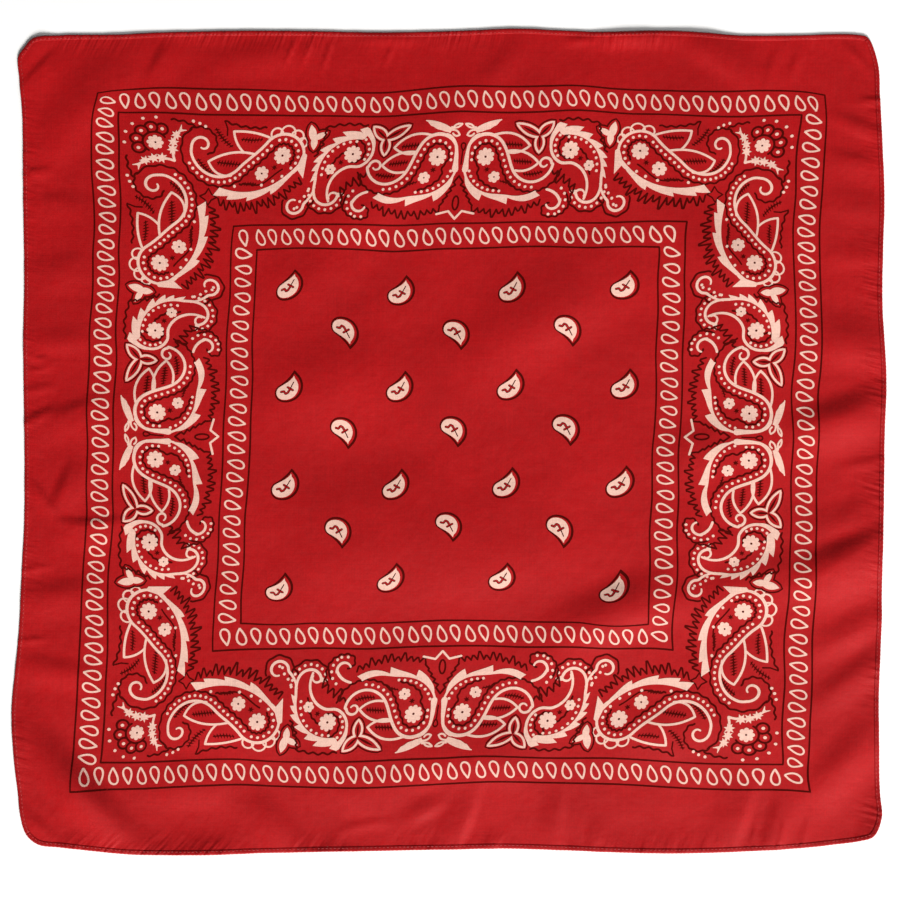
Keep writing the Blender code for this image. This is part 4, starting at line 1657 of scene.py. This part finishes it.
def build_ink(name, points, triangles, rise, cloth, inks, material):
    """One ink: thin closed patches from just above the cloth's face to its back."""
    used, corners = np.unique(triangles, return_inverse=True)
    x, y = points.real[used], points.imag[used]
    top = face_height(x, y, cloth) + rise / MM
    mesh = bpy.data.meshes.new(name)
    mesh.from_pydata((np.column_stack((x, y, top)) * MM).tolist(), [], corners.reshape(-1, 3).tolist())
    bm = bmesh.new()
    bm.from_mesh(mesh)
    bpy.data.meshes.remove(mesh)
    return add_sheet(name, bm, -(cloth.thickness + rise + inks.soak), material)


def follow_folds(mesh):
    """Shade a mesh's upper and lower faces by the slope of the folds themselves, so that no facet shows."""
    count = len(mesh.vertices)
    places = np.zeros(count * 3)
    mesh.vertices.foreach_get("co", places)
    x, y = places[0::3] / MM, places[1::3] / MM
    slope_x = (lift(x + SLOPE_STEP, y) - lift(x - SLOPE_STEP, y)) / (2 * SLOPE_STEP)
    slope_y = (lift(x, y + SLOPE_STEP) - lift(x, y - SLOPE_STEP)) / (2 * SLOPE_STEP)
    upright = np.column_stack((-slope_x, -slope_y, np.ones(count)))
    upright /= np.linalg.norm(upright, axis=1)[:, None]
    corners = np.zeros(len(mesh.loops), dtype=np.int32)
    mesh.loops.foreach_get("vertex_index", corners)
    facing = np.zeros(len(mesh.polygons) * 3)
    mesh.polygons.foreach_get("normal", facing)
    sides = np.zeros(len(mesh.polygons), dtype=np.int32)
    mesh.polygons.foreach_get("loop_total", sides)
    rise = np.repeat(facing[2::3], sides)
    way = np.where(rise > FLAT_ENOUGH, 1.0, np.where(rise < -FLAT_ENOUGH, -1.0, 0.0))
    mesh.normals_split_custom_set((upright[corners] * way[:, None]).tolist())


def hem_wobble(length, pitch):
    """How the stitches and the roll swell and pinch the hem at places along it, about -1 to 1."""
    stitch = np.cos(2 * math.pi * length / pitch)
    roll = sum(np.sin(length / wave + start) for wave, start in ROLL_WAVES)
    return stitch, roll / len(ROLL_WAVES)


def build_hem(cloth, edge, name, material):
    """One rolled hem, from corner tip to corner tip."""
    loop, tips = outline()
    run = run_of_edge(loop, tips, edge)
    total = lengths_along(run)[-1]
    count = int(total * MM / cloth.hem_step)
    places = even_places(run, count)
    outer = at_places(run, places)
    inner = at_places(run_of_edge(inset(loop, HEM_SPAN), tips, edge), places)
    length = np.linspace(0.0, total, count + 1)
    stitch, roll = hem_wobble(length, cloth.stitch_pitch / MM)
    inward = inner - outer
    sides = len(HEM_OUTLINE)
    bm = bmesh.new()
    bmesh.ops.create_grid(bm, x_segments=count, y_segments=sides, size=0.5)
    under = cloth.clearance / MM
    tall = cloth.hem_height / MM
    rings = []
    for inwards, height, pull in HEM_OUTLINE:
        share = inwards - EDGE_WOBBLE * (stitch + 0.8 * roll) * (1.0 - inwards)
        place = outer + inward * share[:, None]
        rise = lift(place[:, 0], place[:, 1])
        swell = 1.0 + ROLL_SWELL * roll - STITCH_PINCH * pull * (0.5 + 0.5 * stitch)
        rings.append(np.column_stack((place, under + rise + tall * height * swell)))
    for vert in bm.verts:
        step = round((vert.co.x + 0.5) * count)
        side = round((vert.co.y + 0.5) * sides) % sides
        vert.co = Vector(rings[side][step]) * MM
    bmesh.ops.remove_doubles(bm, verts=bm.verts[:], dist=WELD)
    bmesh.ops.holes_fill(bm, edges=[item for item in bm.edges if item.is_boundary], sides=0)
    bmesh.ops.recalc_face_normals(bm, faces=bm.faces[:])
    return add_piece(name, bm, material)


def stitch_mesh(cloth):
    """One stitch: a short plump run of thread along X."""
    bm = bmesh.new()
    bmesh.ops.create_uvsphere(
        bm, u_segments=6, v_segments=5, radius=0.5, matrix=Matrix.Rotation(math.pi / 2, 4, "Y"),
    )
    size = Vector((cloth.stitch_length, cloth.thread_width, THREAD_FLATNESS * cloth.thread_width))
    bmesh.ops.scale(bm, vec=size, verts=bm.verts[:])
    mesh = bpy.data.meshes.new("stitch")
    bm.to_mesh(mesh)
    bm.free()
    return mesh


def build_stitches(cloth, material):
    """The lockstitch that holds the hems, one short run of thread after another."""
    loop, tips = outline()
    bm = bmesh.new()
    pitch = cloth.stitch_pitch / MM
    for edge in range(4):
        run = run_of_edge(inset(loop, HEM_SPAN * STITCH_LINE), tips, edge)
        count = int((lengths_along(run)[-1] - STITCH_ENDS) / pitch)
        points = at_places(run, even_places(run, 2 * count))
        height = cloth.clearance / MM + STITCH_SEAT * cloth.hem_height / MM + lift(points[:, 0], points[:, 1])
        for index in range(1, 2 * count, 2):
            step = points[index + 1] - points[index - 1]
            course = Vector((*step, height[index + 1] - height[index - 1]))
            turn = course.to_track_quat("X", "Z").to_matrix().to_4x4()
            place = Vector((*points[index], height[index])) * MM
            stitch = stitch_mesh(cloth)
            stitch.transform(Matrix.Translation(place) @ turn)
            bm.from_mesh(stitch)
            bpy.data.meshes.remove(stitch)
    return add_piece("hem_stitches", bm, material)


# ---------------------------------------------------------------------------------------- operators

class BANDANA_OT_cloth(bpy.types.Operator):
    """Make the woven panel"""

    bl_idname = "bandana.cloth"
    bl_label = "Cloth"

    def execute(self, context):
        panel = build_panel(context.scene.bandana_cloth)
        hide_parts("panel")
        return {"FINISHED"}


class BANDANA_OT_hems(bpy.types.Operator):
    """Roll and stitch the four hems"""

    bl_idname = "bandana.hems"
    bl_label = "Hems"

    def execute(self, context):
        cloth = context.scene.bandana_cloth
        # The hems are a darker copy of the cloth's material: painted shade of the roll.
        material = cloth_material("rolled_cotton", tuple(HEM_PAINTED_SHADE * part for part in cloth.red), depth=0.09)
        for edge, side in enumerate(SIDES):
            hem = build_hem(cloth, edge, f"rolled_hem_{side}", material)
            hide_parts(f"hem_{side}")
        stitches = build_stitches(cloth, thread_material("sewing_thread", tuple(cloth.thread_red)))
        return {"FINISHED"}


class BANDANA_OT_print(bpy.types.Operator):
    """Print the border and the field in both inks"""

    bl_idname = "bandana.print"
    bl_label = "Print"

    def execute(self, context):
        cloth = context.scene.bandana_cloth
        inks = context.scene.bandana_print
        points, triangles = ink_sheets()
        for ink, rise, colour, gloss in (
            ("cream", inks.cream_rise, tuple(inks.cream), 0.1),
            ("dark", inks.dark_rise, tuple(inks.dark), 0.02),
        ):
            material = ink_material(f"{ink}_ink", colour, tuple(cloth.red), inks.back, gloss)
            item = build_ink(f"{ink}_ink", points, triangles[ink], rise, cloth, inks, material)
        return {"FINISHED"}


class BANDANA_OT_stage(bpy.types.Operator):
    """Lay the floor and set the lamps and the camera"""

    bl_idname = "bandana.stage"
    bl_label = "Stage"

    def execute(self, context):
        stage = context.scene.bandana_stage
        bm = bmesh.new()
        bmesh.ops.create_grid(bm, x_segments=8, y_segments=8, size=FLOOR_REACH)
        add_object("floor", bm, floor_material(tuple(stage.floor)))
        for lamp in LAMPS:
            add_lamp(*lamp)
        world = bpy.data.worlds.new("studio")
        world.use_nodes = True
        sky = world.node_tree.nodes["Background"].inputs
        sky["Color"].default_value = (1.0, 1.0, 1.0, 1.0)
        sky["Strength"].default_value = SKY
        context.scene.world = world
        camera_data = bpy.data.cameras.new("camera")
        camera_data.lens = stage.lens
        camera_data.sensor_width = SENSOR
        camera = bpy.data.objects.new("camera", camera_data)
        camera.location = (stage.centre_x, stage.centre_y, stage.view_width * stage.lens / SENSOR)
        context.scene.collection.objects.link(camera)
        context.scene.camera = camera
        context.scene.view_settings.view_transform = "Standard"
        return {"FINISHED"}


def add_lamp(name, place, size, power, colour):
    """A square soft lamp that faces the middle of the cloth."""
    data = bpy.data.lights.new(name, "AREA")
    data.shape = "SQUARE"
    data.size = size
    data.energy = power
    data.color = colour
    lamp = bpy.data.objects.new(name, data)
    lamp.location = place
    lamp.rotation_euler = (-Vector(place)).to_track_quat("-Z", "Y").to_euler()
    bpy.context.scene.collection.objects.link(lamp)


OPERATORS = (BANDANA_OT_cloth, BANDANA_OT_hems, BANDANA_OT_print, BANDANA_OT_stage)


class BANDANA_PT_panel(bpy.types.Panel):
    """The bandana's pieces and settings"""

    bl_idname = "BANDANA_PT_panel"
    bl_label = "Bandana"
    bl_space_type = "VIEW_3D"
    bl_region_type = "UI"
    bl_category = "Bandana"

    def draw(self, context):
        for step in OPERATORS:
            self.layout.operator(step.bl_idname)
        scene = context.scene
        for settings in (scene.bandana_cloth, scene.bandana_print, scene.bandana_stage):
            box = self.layout.box()
            for name in settings.__annotations__:
                box.prop(settings, name)


CLASSES = (BandanaCloth, BandanaPrint, BandanaStage, *OPERATORS, BANDANA_PT_panel)


def register():
    """Register the classes and the settings."""
    for item in CLASSES:
        bpy.utils.register_class(item)
    bpy.types.Scene.bandana_cloth = bpy.props.PointerProperty(type=BandanaCloth)
    bpy.types.Scene.bandana_print = bpy.props.PointerProperty(type=BandanaPrint)
    bpy.types.Scene.bandana_stage = bpy.props.PointerProperty(type=BandanaStage)


def unregister():
    """Take the settings and the classes out again."""
    del bpy.types.Scene.bandana_stage
    del bpy.types.Scene.bandana_print
    del bpy.types.Scene.bandana_cloth
    for item in reversed(CLASSES):
        bpy.utils.unregister_class(item)


def main():
    """Build every piece and the stage."""
    register()
    bpy.ops.bandana.cloth()
    bpy.ops.bandana.hems()
    bpy.ops.bandana.print()
    bpy.ops.bandana.stage()


if __name__ == "__main__":
    main()
